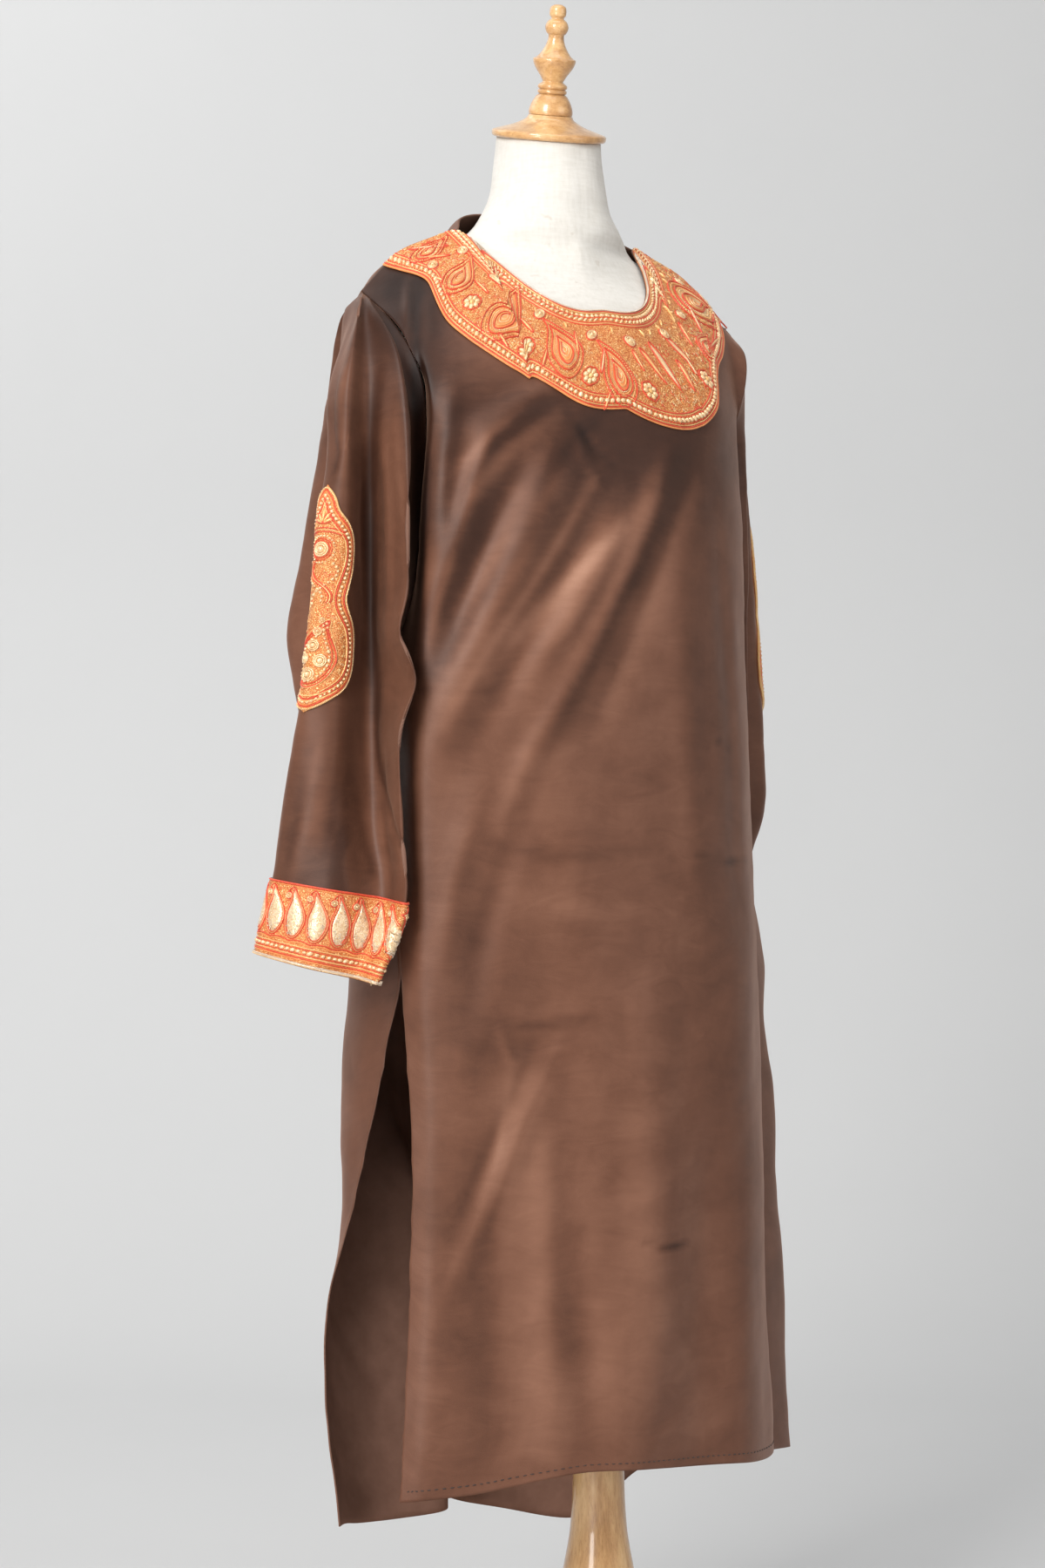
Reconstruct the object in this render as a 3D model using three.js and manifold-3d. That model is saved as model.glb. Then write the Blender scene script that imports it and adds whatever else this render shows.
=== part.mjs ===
// A pheran: a loose, straight-cut velvet robe with an embroidered collar, sleeve patches and cuffs,
// worn on a limbless linen dress form with a turned wood cap and stand.
// Millimetres, +Z up. The front faces -Y and the wearer's right is -X. The origin is on the floor,
// at the centre of the stand's base.
import * as THREE from 'three';
import { mergeVertices } from 'three/addons/utils/BufferGeometryUtils.js';
import Module from 'manifold-3d';

const wasm = await Module();
wasm.setup();

// ---- driving dimensions ---------------------------------------------------------------------
const CLOTH = 1.6;               // thickness of the velvet
const SEAM_GAP = 0.3;            // gap between two sewn pieces
const LAID_GAP = 0.35;           // gap under an embroidered piece that lies on a panel
const EMBROIDERY = 1.3;          // thickness of an embroidered piece
const GARMENT_X = -43;           // the garment hangs a little to the wearer's right of the pole
const SHOULDER_HALF = 205;       // shoulder tip to garment centre
const NECK_HALF = 94;            // half width of the neck opening at the shoulder seam
const NECK_SHOULDER_Z = 1468;    // height of the shoulder seam at the neck
const RIDGE_Y = 33;              // the shoulder seam's place from front to back
const SHOULDER_SLOPE = 0.38;     // fall of the shoulder seam for each mm outwards
const TIP_ROUND_START = 150;     // from here outwards the shoulder rounds over
const TIP_ROUND = 0.0009;        // how fast it rounds over
const CHEST_Z = 1270;            // below this the cloth hangs straight
const UNDERARM_Z = 1035;
const SLIT_TOP_Z = 755;
const FRONT_HEM_Z = 268;
const NECK_DEPTH = 168;          // depth of the front neckline, measured down the cloth
const VIEW_TURN = THREE.MathUtils.degToRad(32); // the sleeves' own plan axes are turned by this

// ---- grid counts ----------------------------------------------------------------------------
const COLS = 19;                 // columns of a body panel
const TOP_ROWS = 8;              // rows from shoulder to chest
const SLEEVE_COLS = 21;          // odd, so that the middle column meets the shoulder tip

// ---- small helpers --------------------------------------------------------------------------
const V = (x, y, z) => new THREE.Vector3(x, y, z);
const mix = (a, b, t) => a + (b - a) * t;
const clamp = THREE.MathUtils.clamp;
const smooth = (t) => THREE.MathUtils.smoothstep(t, 0, 1);
const table = (names, rows) => rows.map((row) => Object.fromEntries(names.map((n, i) => [n, row[i]])));

// Smooth value of every column of a table at a given value of its key column.
function at(rows, key, value) {
  const sign = rows[1][key] > rows[0][key] ? 1 : -1;
  let i = rows.findIndex((row) => sign * (row[key] - value) >= 0);
  if (i < 0) i = rows.length - 1;
  i = clamp(i, 1, rows.length - 1);
  const [a, b] = [rows[i - 1], rows[i]];
  const before = rows[i - 2] ?? a;
  const after = rows[i + 1] ?? b;
  const span = b[key] - a[key];
  const t = clamp((value - a[key]) / span, 0, 1);
  const out = {};
  for (const name of Object.keys(a)) {
    const slope = (from, to) => (to[name] - from[name]) / (to[key] - from[key]);
    const slopeA = before === a ? slope(a, b) : slope(before, b);
    const slopeB = after === b ? slope(a, b) : slope(a, after);
    const [t2, t3] = [t * t, t * t * t];
    out[name] = a[name] * (2 * t3 - 3 * t2 + 1) + b[name] * (3 * t2 - 2 * t3)
      + span * (slopeA * (t3 - 2 * t2 + t) + slopeB * (t3 - t2));
  }
  return out;
}

// Point of a cubic curve with four controls.
function bezier(p, t) {
  const u = 1 - t;
  const w = [u * u * u, 3 * u * u * t, 3 * u * t * t, t * t * t];
  const out = V(0, 0, 0);
  p.forEach((point, i) => out.addScaledVector(point, w[i]));
  return out;
}

// ---- the body panels ------------------------------------------------------------------------
// Plan sections of the front below the chest: corner (r right, l left) and the middle's depth.
const FRONT = table(['z', 'rx', 'ry', 'lx', 'ly', 'cy'], [
  [1270, -242, -82, 134, -50, -130],
  [1180, -251, -80, 140, -48, -137],
  [1035, -253, -79, 147, -47, -141],
  [900, -253, -79, 153, -47, -143],
  [755, -249, -82, 159, -48, -144],
  [600, -244, -93, 160, -54, -146],
  [450, -250, -97, 160, -58, -148],
  [268, -262, -100, 162, -66, -150],
]);
// The armhole and side edge of each panel, down to the hem. u is the share of the way down.
const EDGE_FRONT = table(['z', 'rx', 'ry', 'lx', 'ly'], [
  [1399, -248, 33, 162, 33],
  [1385, -249, 8, 162, 8],
  [1360, -248, -34, 156, -28],
  [1330, -244, -58, 148, -42],
  [1300, -236, -64, 138, -44],
  [1255, -228, -54, 128, -32],
  [1180, -226, -42, 128, -24],
  [1100, -230, -28, 134, -16],
  [1035, -240, -8, 144, -4],
  [900, -249, -32, 155, -22],
  [755, -256, -56, 163, -38],
  [600, -256, -76, 166, -44],
  [450, -262, -81, 167, -48],
  [268, -274, -86, 170, -57],
]);
const EDGE_BACK = table(['z', 'rx', 'ry', 'lx', 'ly'], [
  [1399, -248, 33, 162, 33],
  [1380, -246, 62, 160, 62],
  [1350, -240, 88, 152, 88],
  [1300, -234, 104, 142, 106],
  [1255, -230, 106, 136, 110],
  [1180, -228, 92, 136, 98],
  [1100, -231, 50, 139, 56],
  [1035, -240, -8, 144, -4],
  [755, -256, -56, 163, -38],
  [690, -256, -29, 168, -34],
  [626, -257, -9, 171, -36],
  [544, -260, 25, 174, -38],
  [424, -265, 72, 178, -42],
  [330, -267, 69, 180, -44],
  [225, -268, 40, 182, -46],
]);
// Plan sections of the back: the half width beyond the edges' middle, and the depth at the middle.
const BACK = table(['z', 'bulge', 'flare', 'cy'], [
  [1270, 6, 0, 146],
  [1180, 12, 0, 152],
  [1035, 22, 0, 152],
  [900, 24, 10, 150],
  [755, 24, 38, 152],
  [600, 16, 60, 158],
  [450, -24, 68, 166],
  [225, -46, 70, 176],
]);
const FLARE_S = 0.95;            // the left side of the back flares out here
const FLARE_SPREAD = 0.05;
const BACK_HEM = table(['s', 'z'], [
  [0, 225],
  [0.25, 219],
  [0.45, 190],
  [0.65, 178],
  [0.85, 226],
  [1, 264],
]);
const CORNER_S = 0.05;           // share of the panel's width between its edge and its corner
const TOP_HANDLE = 46;           // how far the cloth runs forward from the shoulder seam
const TOP_FALL = 25.3;           // how far it falls over that
const CHEST_HANDLE = 72;         // how far it runs upright above the chest
const BACK_TOP_HANDLE = 40;      // the same two for the back
const BACK_HANDLE = 92;

const shoulderZ = (dx) => NECK_SHOULDER_Z - SHOULDER_SLOPE * (Math.abs(dx) - NECK_HALF)
  - TIP_ROUND * Math.max(0, Math.abs(dx) - TIP_ROUND_START) ** 2 * 10;

// Largest folds of the body: a crest (+) or trough (-) along a line from one place to another on
// a panel, given by the share of its width and the height.
const FRONT_FOLDS = table(['s0', 'z0', 's1', 'z1', 'width', 'height'], [
  [0.36, 1270, 0.22, 1000, 26, 11],
  [0.26, 1200, 0.15, 990, 24, -11],
  [0.62, 1200, 0.40, 930, 24, 7],
  [0.16, 1180, 0.07, 1060, 22, 7],
  [0.30, 900, 0.24, 300, 34, -8],
  [0.52, 800, 0.46, 268, 34, 8],
  [0.80, 860, 0.82, 300, 34, 6],
  [0.67, 640, 0.66, 268, 30, -7],
]);
const BACK_FOLDS = table(['s0', 'z0', 's1', 'z1', 'width', 'height'], [
  [0.29, 700, 0.27, 180, 44, -62],
  [0.42, 900, 0.42, 180, 30, 14],
  [0.54, 1150, 0.55, 180, 36, 10],
  [0.66, 900, 0.70, 180, 34, -22],
  [0.82, 760, 0.84, 220, 30, 8],
  [0.30, 1250, 0.36, 900, 30, 8],
  [0.72, 1250, 0.64, 900, 30, 8],
]);
const FOLD_FADE = 60;            // how far a fold runs out past its ends
const FOLD_RISE = 0.35;          // share of its length in which it rises to its full height

function foldHeight(folds, s, z, widthAtZ) {
  let sum = 0;
  for (const f of folds) {
    const t = clamp((f.z0 - z) / (f.z0 - f.z1), 0, 1);
    const beyond = z > f.z0 ? z - f.z0 : Math.max(0, f.z1 - z);
    const fade = Math.exp(-((beyond / FOLD_FADE) ** 2)) * smooth(t / FOLD_RISE);
    const across = (s - mix(f.s0, f.s1, t)) * widthAtZ;
    sum += f.height * fade * Math.exp(-((across / f.width) ** 2));
  }
  return sum;
}

function frontLevel(s, z) {
  const r = at(FRONT, 'z', z);
  const q = (s - CORNER_S) / (1 - 2 * CORNER_S);
  const v = 2 * q - 1;
  const side = mix(r.ry, r.ly, q);
  const y = side + (r.cy - side) * (1 - Math.abs(v) ** 2.4);
  return V(mix(r.rx, r.lx, q), y - foldHeight(FRONT_FOLDS, s, z, r.lx - r.rx), z);
}

function backLevel(s, z) {
  const edge = at(EDGE_BACK, 'z', z);
  const r = at(BACK, 'z', z);
  const angle = Math.PI * s;
  const middle = (edge.rx + edge.lx) / 2;
  const half = (edge.lx - edge.rx) / 2;
  const side = mix(edge.ry, edge.ly, s);
  const fold = foldHeight(BACK_FOLDS, s, z, 2 * half) * Math.sin(angle);
  const bulge = s < 0.5 ? r.bulge : Math.abs(r.bulge) * 0.6;
  const flare = r.flare * Math.exp(-(((s - FLARE_S) / FLARE_SPREAD) ** 2));
  const x = middle - half * Math.cos(angle) - bulge * Math.sin(2 * angle) + flare;
  const y = side + (r.cy - side) * Math.sin(angle) ** 0.9;
  return V(x - fold * Math.cos(angle), y + fold * Math.sin(angle), z);
}

// Where a panel's lane starts at the shoulder seam, or at the back neck.
function shoulderPoint(s) {
  const dx = mix(-SHOULDER_HALF, SHOULDER_HALF, s);
  return V(GARMENT_X + dx, RIDGE_Y, shoulderZ(dx));
}
const BACK_NECK_RISE = 36;
const BACK_NECK_SET = 62;
function backTop(s) {
  const p = shoulderPoint(s);
  const share = Math.sqrt(Math.max(0, 1 - ((p.x - GARMENT_X) / NECK_HALF) ** 2));
  if (share === 0) return p;
  return V(p.x, RIDGE_Y + BACK_NECK_SET * share, NECK_SHOULDER_Z + BACK_NECK_RISE * share);
}
// The cloth from the shoulder seam to the chest, as one curve for each lane.
function frontTop(s) {
  const a = shoulderPoint(s);
  const d = frontLevel(s, CHEST_Z);
  const b = a.clone().add(V(0, -TOP_HANDLE, -TOP_FALL));
  const c = d.clone().add(V(0, 2, CHEST_HANDLE));
  return [a, b, c, d];
}
function backTopCurve(s) {
  const a = backTop(s);
  const d = backLevel(s, CHEST_Z);
  const b = a.clone().add(V(0, BACK_TOP_HANDLE, -6));
  const c = d.clone().add(V(0, -4, BACK_HANDLE));
  return [a, b, c, d];
}

// The neckline and collar are drawn on the flat cloth: dx across from the centre, w down from the
// shoulder seam. This finds that place on the hanging front.
const LANE_STEPS = 40;
function frontLane(s) {
  const curve = frontTop(s);
  const points = [];
  for (let i = 0; i <= LANE_STEPS; i += 1) points.push(bezier(curve, i / LANE_STEPS));
  const run = [0];
  for (let i = 1; i <= LANE_STEPS; i += 1) run.push(run[i - 1] + points[i].distanceTo(points[i - 1]));
  return { points, run };
}
function laneAt(lane, w) {
  const total = lane.run[LANE_STEPS];
  if (w >= total) return lane.points[LANE_STEPS].clone().add(V(0, 0, total - w));
  const i = Math.max(1, lane.run.findIndex((r) => r >= w));
  const [from, to] = [lane.run[i - 1], lane.run[i]];
  return lane.points[i - 1].clone().lerp(lane.points[i], (w - from) / (to - from));
}
const necklineW = (dx) => NECK_DEPTH * Math.sqrt(Math.max(0, 1 - (dx / NECK_HALF) ** 2));

// ---- sheets: grids of points with a normal at each, which become thin closed walls -----------
function sheet(rows, side) {
  const p = rows;
  const [m, n] = [p.length, p[0].length];
  const normal = p.map((row, i) => row.map((_, j) => {
    const down = p[Math.min(i + 1, m - 1)][j].clone().sub(p[Math.max(i - 1, 0)][j]);
    const over = row[Math.min(j + 1, n - 1)].clone().sub(row[Math.max(j - 1, 0)]);
    return over.cross(down).multiplyScalar(side).normalize();
  }));
  return { p, normal, m, n, side, shift: new Map() };
}
const corner = (sh, i, j) => ({ sh, i, j });

// One seam point that several sheets share: one normal for all, each drawn back a little.
function sew(corners) {
  const sum = V(0, 0, 0);
  corners.forEach(({ sh, i, j }) => sum.add(sh.normal[i][j]));
  if (sum.length() < 0.2) sum.copy(corners[0].sh.normal[corners[0].i][corners[0].j]);
  sum.normalize();
  corners.forEach(({ sh, i, j }) => {
    sh.normal[i][j] = sum.clone();
    const inI = i === 0 ? 1 : i === sh.m - 1 ? sh.m - 2 : i;
    const inJ = j === 0 ? 1 : j === sh.n - 1 ? sh.n - 2 : j;
    const towards = sh.p[inI][inJ].clone().sub(sh.p[i][j]);
    towards.addScaledVector(sum, -towards.dot(sum)).normalize();
    sh.shift.set(`${i},${j}`, towards.multiplyScalar(SEAM_GAP));
  });
}

// A closed wall between two offsets of a sheet.
function wallGeometry(sh, low, high) {
  const { p, normal, m, n } = sh;
  const position = [];
  for (const lift of [high, low]) {
    for (let i = 0; i < m; i += 1) {
      for (let j = 0; j < n; j += 1) {
        const q = p[i][j].clone().addScaledVector(normal[i][j], lift);
        const moved = sh.shift.get(`${i},${j}`);
        if (moved) q.add(moved);
        position.push(q.x, q.y, q.z);
      }
    }
  }
  const index = [];
  const id = (i, j, layer) => layer * m * n + i * n + j;
  const quad = (a, b, c, d) => index.push(a, b, c, a, c, d);
  for (let i = 0; i < m - 1; i += 1) {
    for (let j = 0; j < n - 1; j += 1) {
      quad(id(i, j, 0), id(i, j + 1, 0), id(i + 1, j + 1, 0), id(i + 1, j, 0));
      quad(id(i, j, 1), id(i + 1, j, 1), id(i + 1, j + 1, 1), id(i, j + 1, 1));
    }
  }
  for (let j = 0; j < n - 1; j += 1) {
    quad(id(0, j, 0), id(0, j, 1), id(0, j + 1, 1), id(0, j + 1, 0));
    quad(id(m - 1, j, 0), id(m - 1, j + 1, 0), id(m - 1, j + 1, 1), id(m - 1, j, 1));
  }
  for (let i = 0; i < m - 1; i += 1) {
    quad(id(i, 0, 0), id(i + 1, 0, 0), id(i + 1, 0, 1), id(i, 0, 1));
    quad(id(i, n - 1, 0), id(i, n - 1, 1), id(i + 1, n - 1, 1), id(i + 1, n - 1, 0));
  }
  if (sh.side < 0) {
    for (let k = 0; k < index.length; k += 3) [index[k], index[k + 1]] = [index[k + 1], index[k]];
  }
  const geometry = new THREE.BufferGeometry();
  geometry.setAttribute('position', new THREE.Float32BufferAttribute(position, 3));
  geometry.setIndex(index);
  return geometry;
}

// ---- booleans -------------------------------------------------------------------------------
function toSolid(geometry) {
  const g = geometry.clone();
  g.deleteAttribute('normal');
  g.deleteAttribute('uv');
  const merged = mergeVertices(g, 1e-4);
  return new wasm.Manifold(new wasm.Mesh({
    numProp: 3,
    vertProperties: new Float32Array(merged.attributes.position.array),
    triVerts: new Uint32Array(merged.index.array),
  }));
}
function fromSolid(solid) {
  const mesh = solid.getMesh();
  const geometry = new THREE.BufferGeometry();
  const position = Float32Array.from(mesh.vertProperties);
  geometry.setAttribute('position', new THREE.Float32BufferAttribute(position, 3));
  geometry.setIndex(Array.from(mesh.triVerts));
  return geometry;
}

// ---- object tree ----------------------------------------------------------------------------
const pheran = new THREE.Group();
const MATERIALS = {
  velvet: new THREE.MeshStandardMaterial({ color: 0x5e4134, roughness: 0.85, metalness: 0 }),
  tilla: new THREE.MeshStandardMaterial({ color: 0xd98a45, roughness: 0.45, metalness: 0.35 }),
  linen: new THREE.MeshStandardMaterial({ color: 0xe0dcd2, roughness: 0.9, metalness: 0 }),
  wood: new THREE.MeshStandardMaterial({ color: 0xd8ac72, roughness: 0.35, metalness: 0 }),
};
function add(name, geometry, material, parent = pheran) {
  const mesh = new THREE.Mesh(geometry, MATERIALS[material].clone());
  mesh.name = name;
  parent.add(mesh);
  return mesh;
}

// ---- front and back -------------------------------------------------------------------------
const LEVELS = [1220, 1160, 1100, UNDERARM_Z, 960, 860, SLIT_TOP_Z, 680, 590, 500, 410, 330];
const share = Array.from({ length: COLS }, (_, j) => {
  if (j === 0) return 0;
  if (j === COLS - 1) return 1;
  return mix(CORNER_S, 1 - CORNER_S, (j - 1) / (COLS - 3));
});
// The edge of a panel between shoulder and chest, at a share of the way down.
function edgePoint(edge, left, z) {
  const sewn = z <= UNDERARM_Z && z >= SLIT_TOP_Z;
  const e = at(sewn ? EDGE_FRONT : edge, 'z', z);
  return V(left ? e.lx : e.rx, left ? e.ly : e.ry, z);
}
function panelRows(edge, topCurve, level, hemZ) {
  const rows = [];
  for (let i = 0; i < TOP_ROWS; i += 1) {
    const t = i / TOP_ROWS;
    rows.push(share.map((s, j) => {
      if (j === 0 || j === COLS - 1) return edgePoint(edge, j > 0, mix(edge[0].z, CHEST_Z, t ** 1.25));
      return topCurve(s, t);
    }));
  }
  for (const z of [CHEST_Z, ...LEVELS, null]) {
    rows.push(share.map((s, j) => {
      const height = z ?? hemZ(s);
      if (j === 0 || j === COLS - 1) return edgePoint(edge, j > 0, height);
      return level(s, height);
    }));
  }
  return rows;
}
function frontTopAt(s, t) {
  const lane = frontLane(s);
  const dx = shoulderPoint(s).x - GARMENT_X;
  return laneAt(lane, mix(necklineW(dx), lane.run[LANE_STEPS], t));
}
const backTopAt = (s, t) => bezier(backTopCurve(s), t);

const frontSheet = sheet(panelRows(EDGE_FRONT, frontTopAt, frontLevel, () => FRONT_HEM_Z), -1);
const backSheet = sheet(
  panelRows(EDGE_BACK, backTopAt, backLevel, (s) => at(BACK_HEM, 's', s).z),
  1,
);

// ---- sleeves --------------------------------------------------------------------------------
// The sleeve's plan is measured u across and d outwards, on axes turned about Z by VIEW_TURN.
const plan = (u, d) => [
  Math.cos(VIEW_TURN) * u - Math.sin(VIEW_TURN) * d,
  -Math.sin(VIEW_TURN) * u - Math.cos(VIEW_TURN) * d,
];
// Sections of the right sleeve from the shoulder to the wrist: z at the outer fold, drop = how much
// lower the inner side is, r = inner front lobe, v = valley, f = outer fold, g = groove behind it,
// b = back lobe's side, k = rear of the back lobe.
const SLEEVE = table(
  ['z', 'drop', 'ru', 'rd', 'vu', 'vd', 'fu', 'fd', 'gu', 'gd', 'bu', 'bd', 'ku', 'kd'],
  [
    [1399, 0, -226, 130, -230, 130, -232, 126, -236, 112, -242, 104, -244, 90],
    [1385, 0, -210, 162, -222, 156, -231, 146, -240, 126, -250, 104, -252, 76],
    [1340, 0, -190, 198, -220, 172, -244, 170, -245, 134, -248, 100, -258, 61],
    [1290, 0, -181, 208, -218, 170, -256, 186, -248, 134, -263, 90, -267, 35],
    [1230, 0, -179, 214, -217, 166, -258, 194, -246, 130, -273, 84, -272, 36],
    [1150, 0, -179, 218, -217, 162, -265, 196, -248, 126, -286, 82, -278, 42],
    [1075, 0, -178, 222, -217, 160, -272, 196, -254, 128, -300, 82, -287, 50],
    [1030, 3, -172, 228, -217, 160, -276, 196, -260, 134, -294, 90, -281, 70],
    [975, 8, -180, 226, -217, 166, -286, 194, -272, 150, -283, 116, -263, 100],
    [905, 14, -178, 222, -213, 176, -298, 192, -294, 160, -284, 130, -249, 126],
    [840, 24, -175, 222, -206, 196, -307, 194, -304, 166, -288, 142, -241, 139],
    [773, 30, -202, 220, -228, 214, -321, 200, -320, 178, -302, 158, -255, 155],
  ],
);
const SLEEVE_ROWS_BELOW = [985, 945, 905, 870, 840, 822, 798, 773];
const CUFF_ROWS = 3;             // the last rows carry the cuff
const INNER_LOWER = table(['z', 'u', 'd'], [
  [1035, -199, 134],
  [985, -220, 149],
  [905, -216, 170],
  [840, -208, 184],
  [773, -214, 196],
]);

function catmull(points, t) {
  const curve = new THREE.CatmullRomCurve3(points, false, 'centripetal');
  return curve.getPoint(t);
}
// One row of the sleeve between its two ends: the front armhole edge and the back one.
function sleeveRow(row, start, end) {
  const tilt = (u) => row.z - row.drop * (u - row.fu) / Math.max(60, row.ru - row.fu);
  const spot = (u, d) => {
    const [x, y] = plan(u, d);
    return V(x, y, tilt(u));
  };
  const points = [
    start,
    spot(row.ru - 18, row.rd - 24),
    spot(row.ru - 14, row.rd + 6),
    spot(row.vu, row.vd),
    spot(mix(row.vu, row.fu, 0.45), mix(row.vd, row.fd, 0.5) + 22),
    spot(row.fu + 6, row.fd + 4),
    spot(row.fu, row.fd - 8),
    spot(row.gu, row.gd),
    spot(row.bu, row.bd + 10),
    spot(row.bu + 8, row.bd - 22),
    spot(row.ku, row.kd),
    end,
  ];
  return Array.from({ length: SLEEVE_COLS }, (_, j) => catmull(points, j / (SLEEVE_COLS - 1)));
}
const UNDERARM_ROW = TOP_ROWS + 1 + LEVELS.indexOf(UNDERARM_Z);
// The first row runs up the armhole seam to the shoulder tip and down again.
const MIDDLE = (SLEEVE_COLS - 1) / 2;
function tipRow(col) {
  const tip = frontSheet.p[0][col];
  const [front, back] = [frontSheet.p[1][col], backSheet.p[1][col]];
  return Array.from({ length: SLEEVE_COLS }, (_, j) => (j <= MIDDLE
    ? front.clone().lerp(tip, j / MIDDLE)
    : tip.clone().lerp(back, j / MIDDLE - 1)));
}
function rightSleeveRows() {
  const rows = [tipRow(0)];
  for (let i = 2; i <= UNDERARM_ROW; i += 1) {
    const start = frontSheet.p[i][0];
    const end = backSheet.p[i][0];
    rows.push(sleeveRow(at(SLEEVE, 'z', start.z), start, end));
  }
  for (const z of SLEEVE_ROWS_BELOW) {
    const row = at(SLEEVE, 'z', z);
    const under = at(INNER_LOWER, 'z', z);
    const [x, y] = plan(under.u, under.d);
    const point = V(x, y, z - row.drop);
    rows.push(sleeveRow(row, point, point.clone()));
  }
  return rows;
}
// Sections of the left sleeve, which hangs swung back against the body: a = front lobe, v = shallow
// valley, f = outermost place, b = rear outer side, k = rear, i = inner side next to the body.
const LEFT_SLEEVE = table(
  ['z', 'drop', 'ax', 'ay', 'vx', 'vy', 'fx', 'fy', 'bx', 'by', 'kx', 'ky', 'ix', 'iy'],
  [
    [1399, 0, 165, 26, 168, 30, 170, 34, 170, 38, 168, 40, 165, 40],
    [1385, 0, 168, 10, 172, 22, 178, 36, 180, 54, 176, 70, 168, 76],
    [1340, 0, 168, -8, 172, 14, 187, 30, 192, 70, 182, 104, 168, 112],
    [1290, 0, 160, -24, 168, 8, 189, 22, 198, 76, 180, 120, 160, 124],
    [1230, 0, 156, -32, 166, 6, 194, 20, 206, 82, 184, 130, 158, 132],
    [1150, 0, 158, -32, 168, 6, 202, 22, 218, 88, 190, 136, 158, 130],
    [1075, 0, 160, -28, 170, 8, 208, 22, 228, 94, 194, 138, 164, 116],
    [1030, 4, 162, -26, 172, 8, 212, 22, 231, 96, 198, 137, 168, 104],
    [975, 8, 168, -16, 178, 12, 216, 22, 234, 98, 204, 142, 172, 100],
    [905, 14, 172, 0, 184, 20, 219, 25, 236, 108, 208, 150, 174, 96],
    [860, 18, 174, 22, 188, 36, 217, 44, 234, 118, 210, 158, 178, 98],
    [773, 26, 182, 66, 196, 74, 214, 86, 226, 146, 208, 184, 186, 128],
  ],
);
function leftSleeveRow(row, start, end) {
  const spot = (x, y) => V(x, y, row.z - row.drop * (row.fx - x) / Math.max(20, row.fx - row.ix));
  const points = [
    start,
    spot(row.ax, row.ay),
    spot(row.vx, row.vy),
    spot(row.fx, row.fy),
    spot(row.bx, row.by),
    spot(row.kx, row.ky),
    spot(row.ix, row.iy),
    end,
  ];
  return Array.from({ length: SLEEVE_COLS }, (_, j) => catmull(points, j / (SLEEVE_COLS - 1)));
}
const LEFT_UNDER = table(['z', 'x', 'y'], [
  [1035, 144, -4],
  [985, 164, 14],
  [905, 170, 30],
  [840, 178, 52],
  [773, 182, 92],
]);
function leftSleeveRows() {
  const rows = [tipRow(COLS - 1)];
  for (let i = 2; i <= UNDERARM_ROW; i += 1) {
    const start = frontSheet.p[i][COLS - 1];
    rows.push(leftSleeveRow(at(LEFT_SLEEVE, 'z', start.z), start, backSheet.p[i][COLS - 1]));
  }
  for (const z of SLEEVE_ROWS_BELOW) {
    const row = at(LEFT_SLEEVE, 'z', z);
    const under = at(LEFT_UNDER, 'z', z);
    const point = V(under.x, under.y, z - row.drop);
    rows.push(leftSleeveRow(row, point, point.clone()));
  }
  return rows;
}
const rightRows = rightSleeveRows();
const rightSheet = sheet(rightRows, 1);
const leftSheet = sheet(leftSleeveRows(), -1);

// ---- seams ----------------------------------------------------------------------------------
const SLIT_ROW = TOP_ROWS + 1 + LEVELS.indexOf(SLIT_TOP_Z);
const LAST = SLEEVE_COLS - 1;
for (const [sleeve, col] of [[rightSheet, 0], [leftSheet, COLS - 1]]) {
  const f = (i) => corner(frontSheet, i, col);
  const b = (i) => corner(backSheet, i, col);
  sew([f(0), b(0), corner(sleeve, 0, MIDDLE)]);
  for (let k = 0; k < UNDERARM_ROW - 1; k += 1) {
    sew([f(k + 1), corner(sleeve, k, 0)]);
    sew([b(k + 1), corner(sleeve, k, LAST)]);
  }
  const under = UNDERARM_ROW - 1;
  sew([f(UNDERARM_ROW), b(UNDERARM_ROW), corner(sleeve, under, 0), corner(sleeve, under, LAST)]);
  for (let j = 1; j < MIDDLE; j += 1) {
    for (const [from, to] of [[0, MIDDLE], [LAST, MIDDLE]]) {
      const here = from + Math.sign(to - from) * j;
      const shift = sleeve.shift.get(`0,${from}`).clone().lerp(sleeve.shift.get(`0,${to}`), j / MIDDLE);
      sleeve.normal[0][here] = sleeve.normal[0][from].clone().lerp(sleeve.normal[0][to], j / MIDDLE);
      sleeve.shift.set(`0,${here}`, shift);
    }
  }
  for (let k = UNDERARM_ROW; k < sleeve.m; k += 1) sew([corner(sleeve, k, 0), corner(sleeve, k, LAST)]);
  for (let i = UNDERARM_ROW + 1; i <= SLIT_ROW; i += 1) sew([f(i), b(i)]);
}
for (let j = 1; j < COLS - 1; j += 1) {
  const dx = Math.abs(shoulderPoint(share[j]).x - GARMENT_X);
  if (dx >= NECK_HALF) sew([corner(frontSheet, 0, j), corner(backSheet, 0, j)]);
}

add('front_panel', wallGeometry(frontSheet, -CLOTH, 0), 'velvet');
add('back_panel', wallGeometry(backSheet, -CLOTH, 0), 'velvet');
add('sleeve_right', wallGeometry(rightSheet, -CLOTH, 0), 'velvet');
add('sleeve_left', wallGeometry(leftSheet, -CLOTH, 0), 'velvet');

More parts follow.
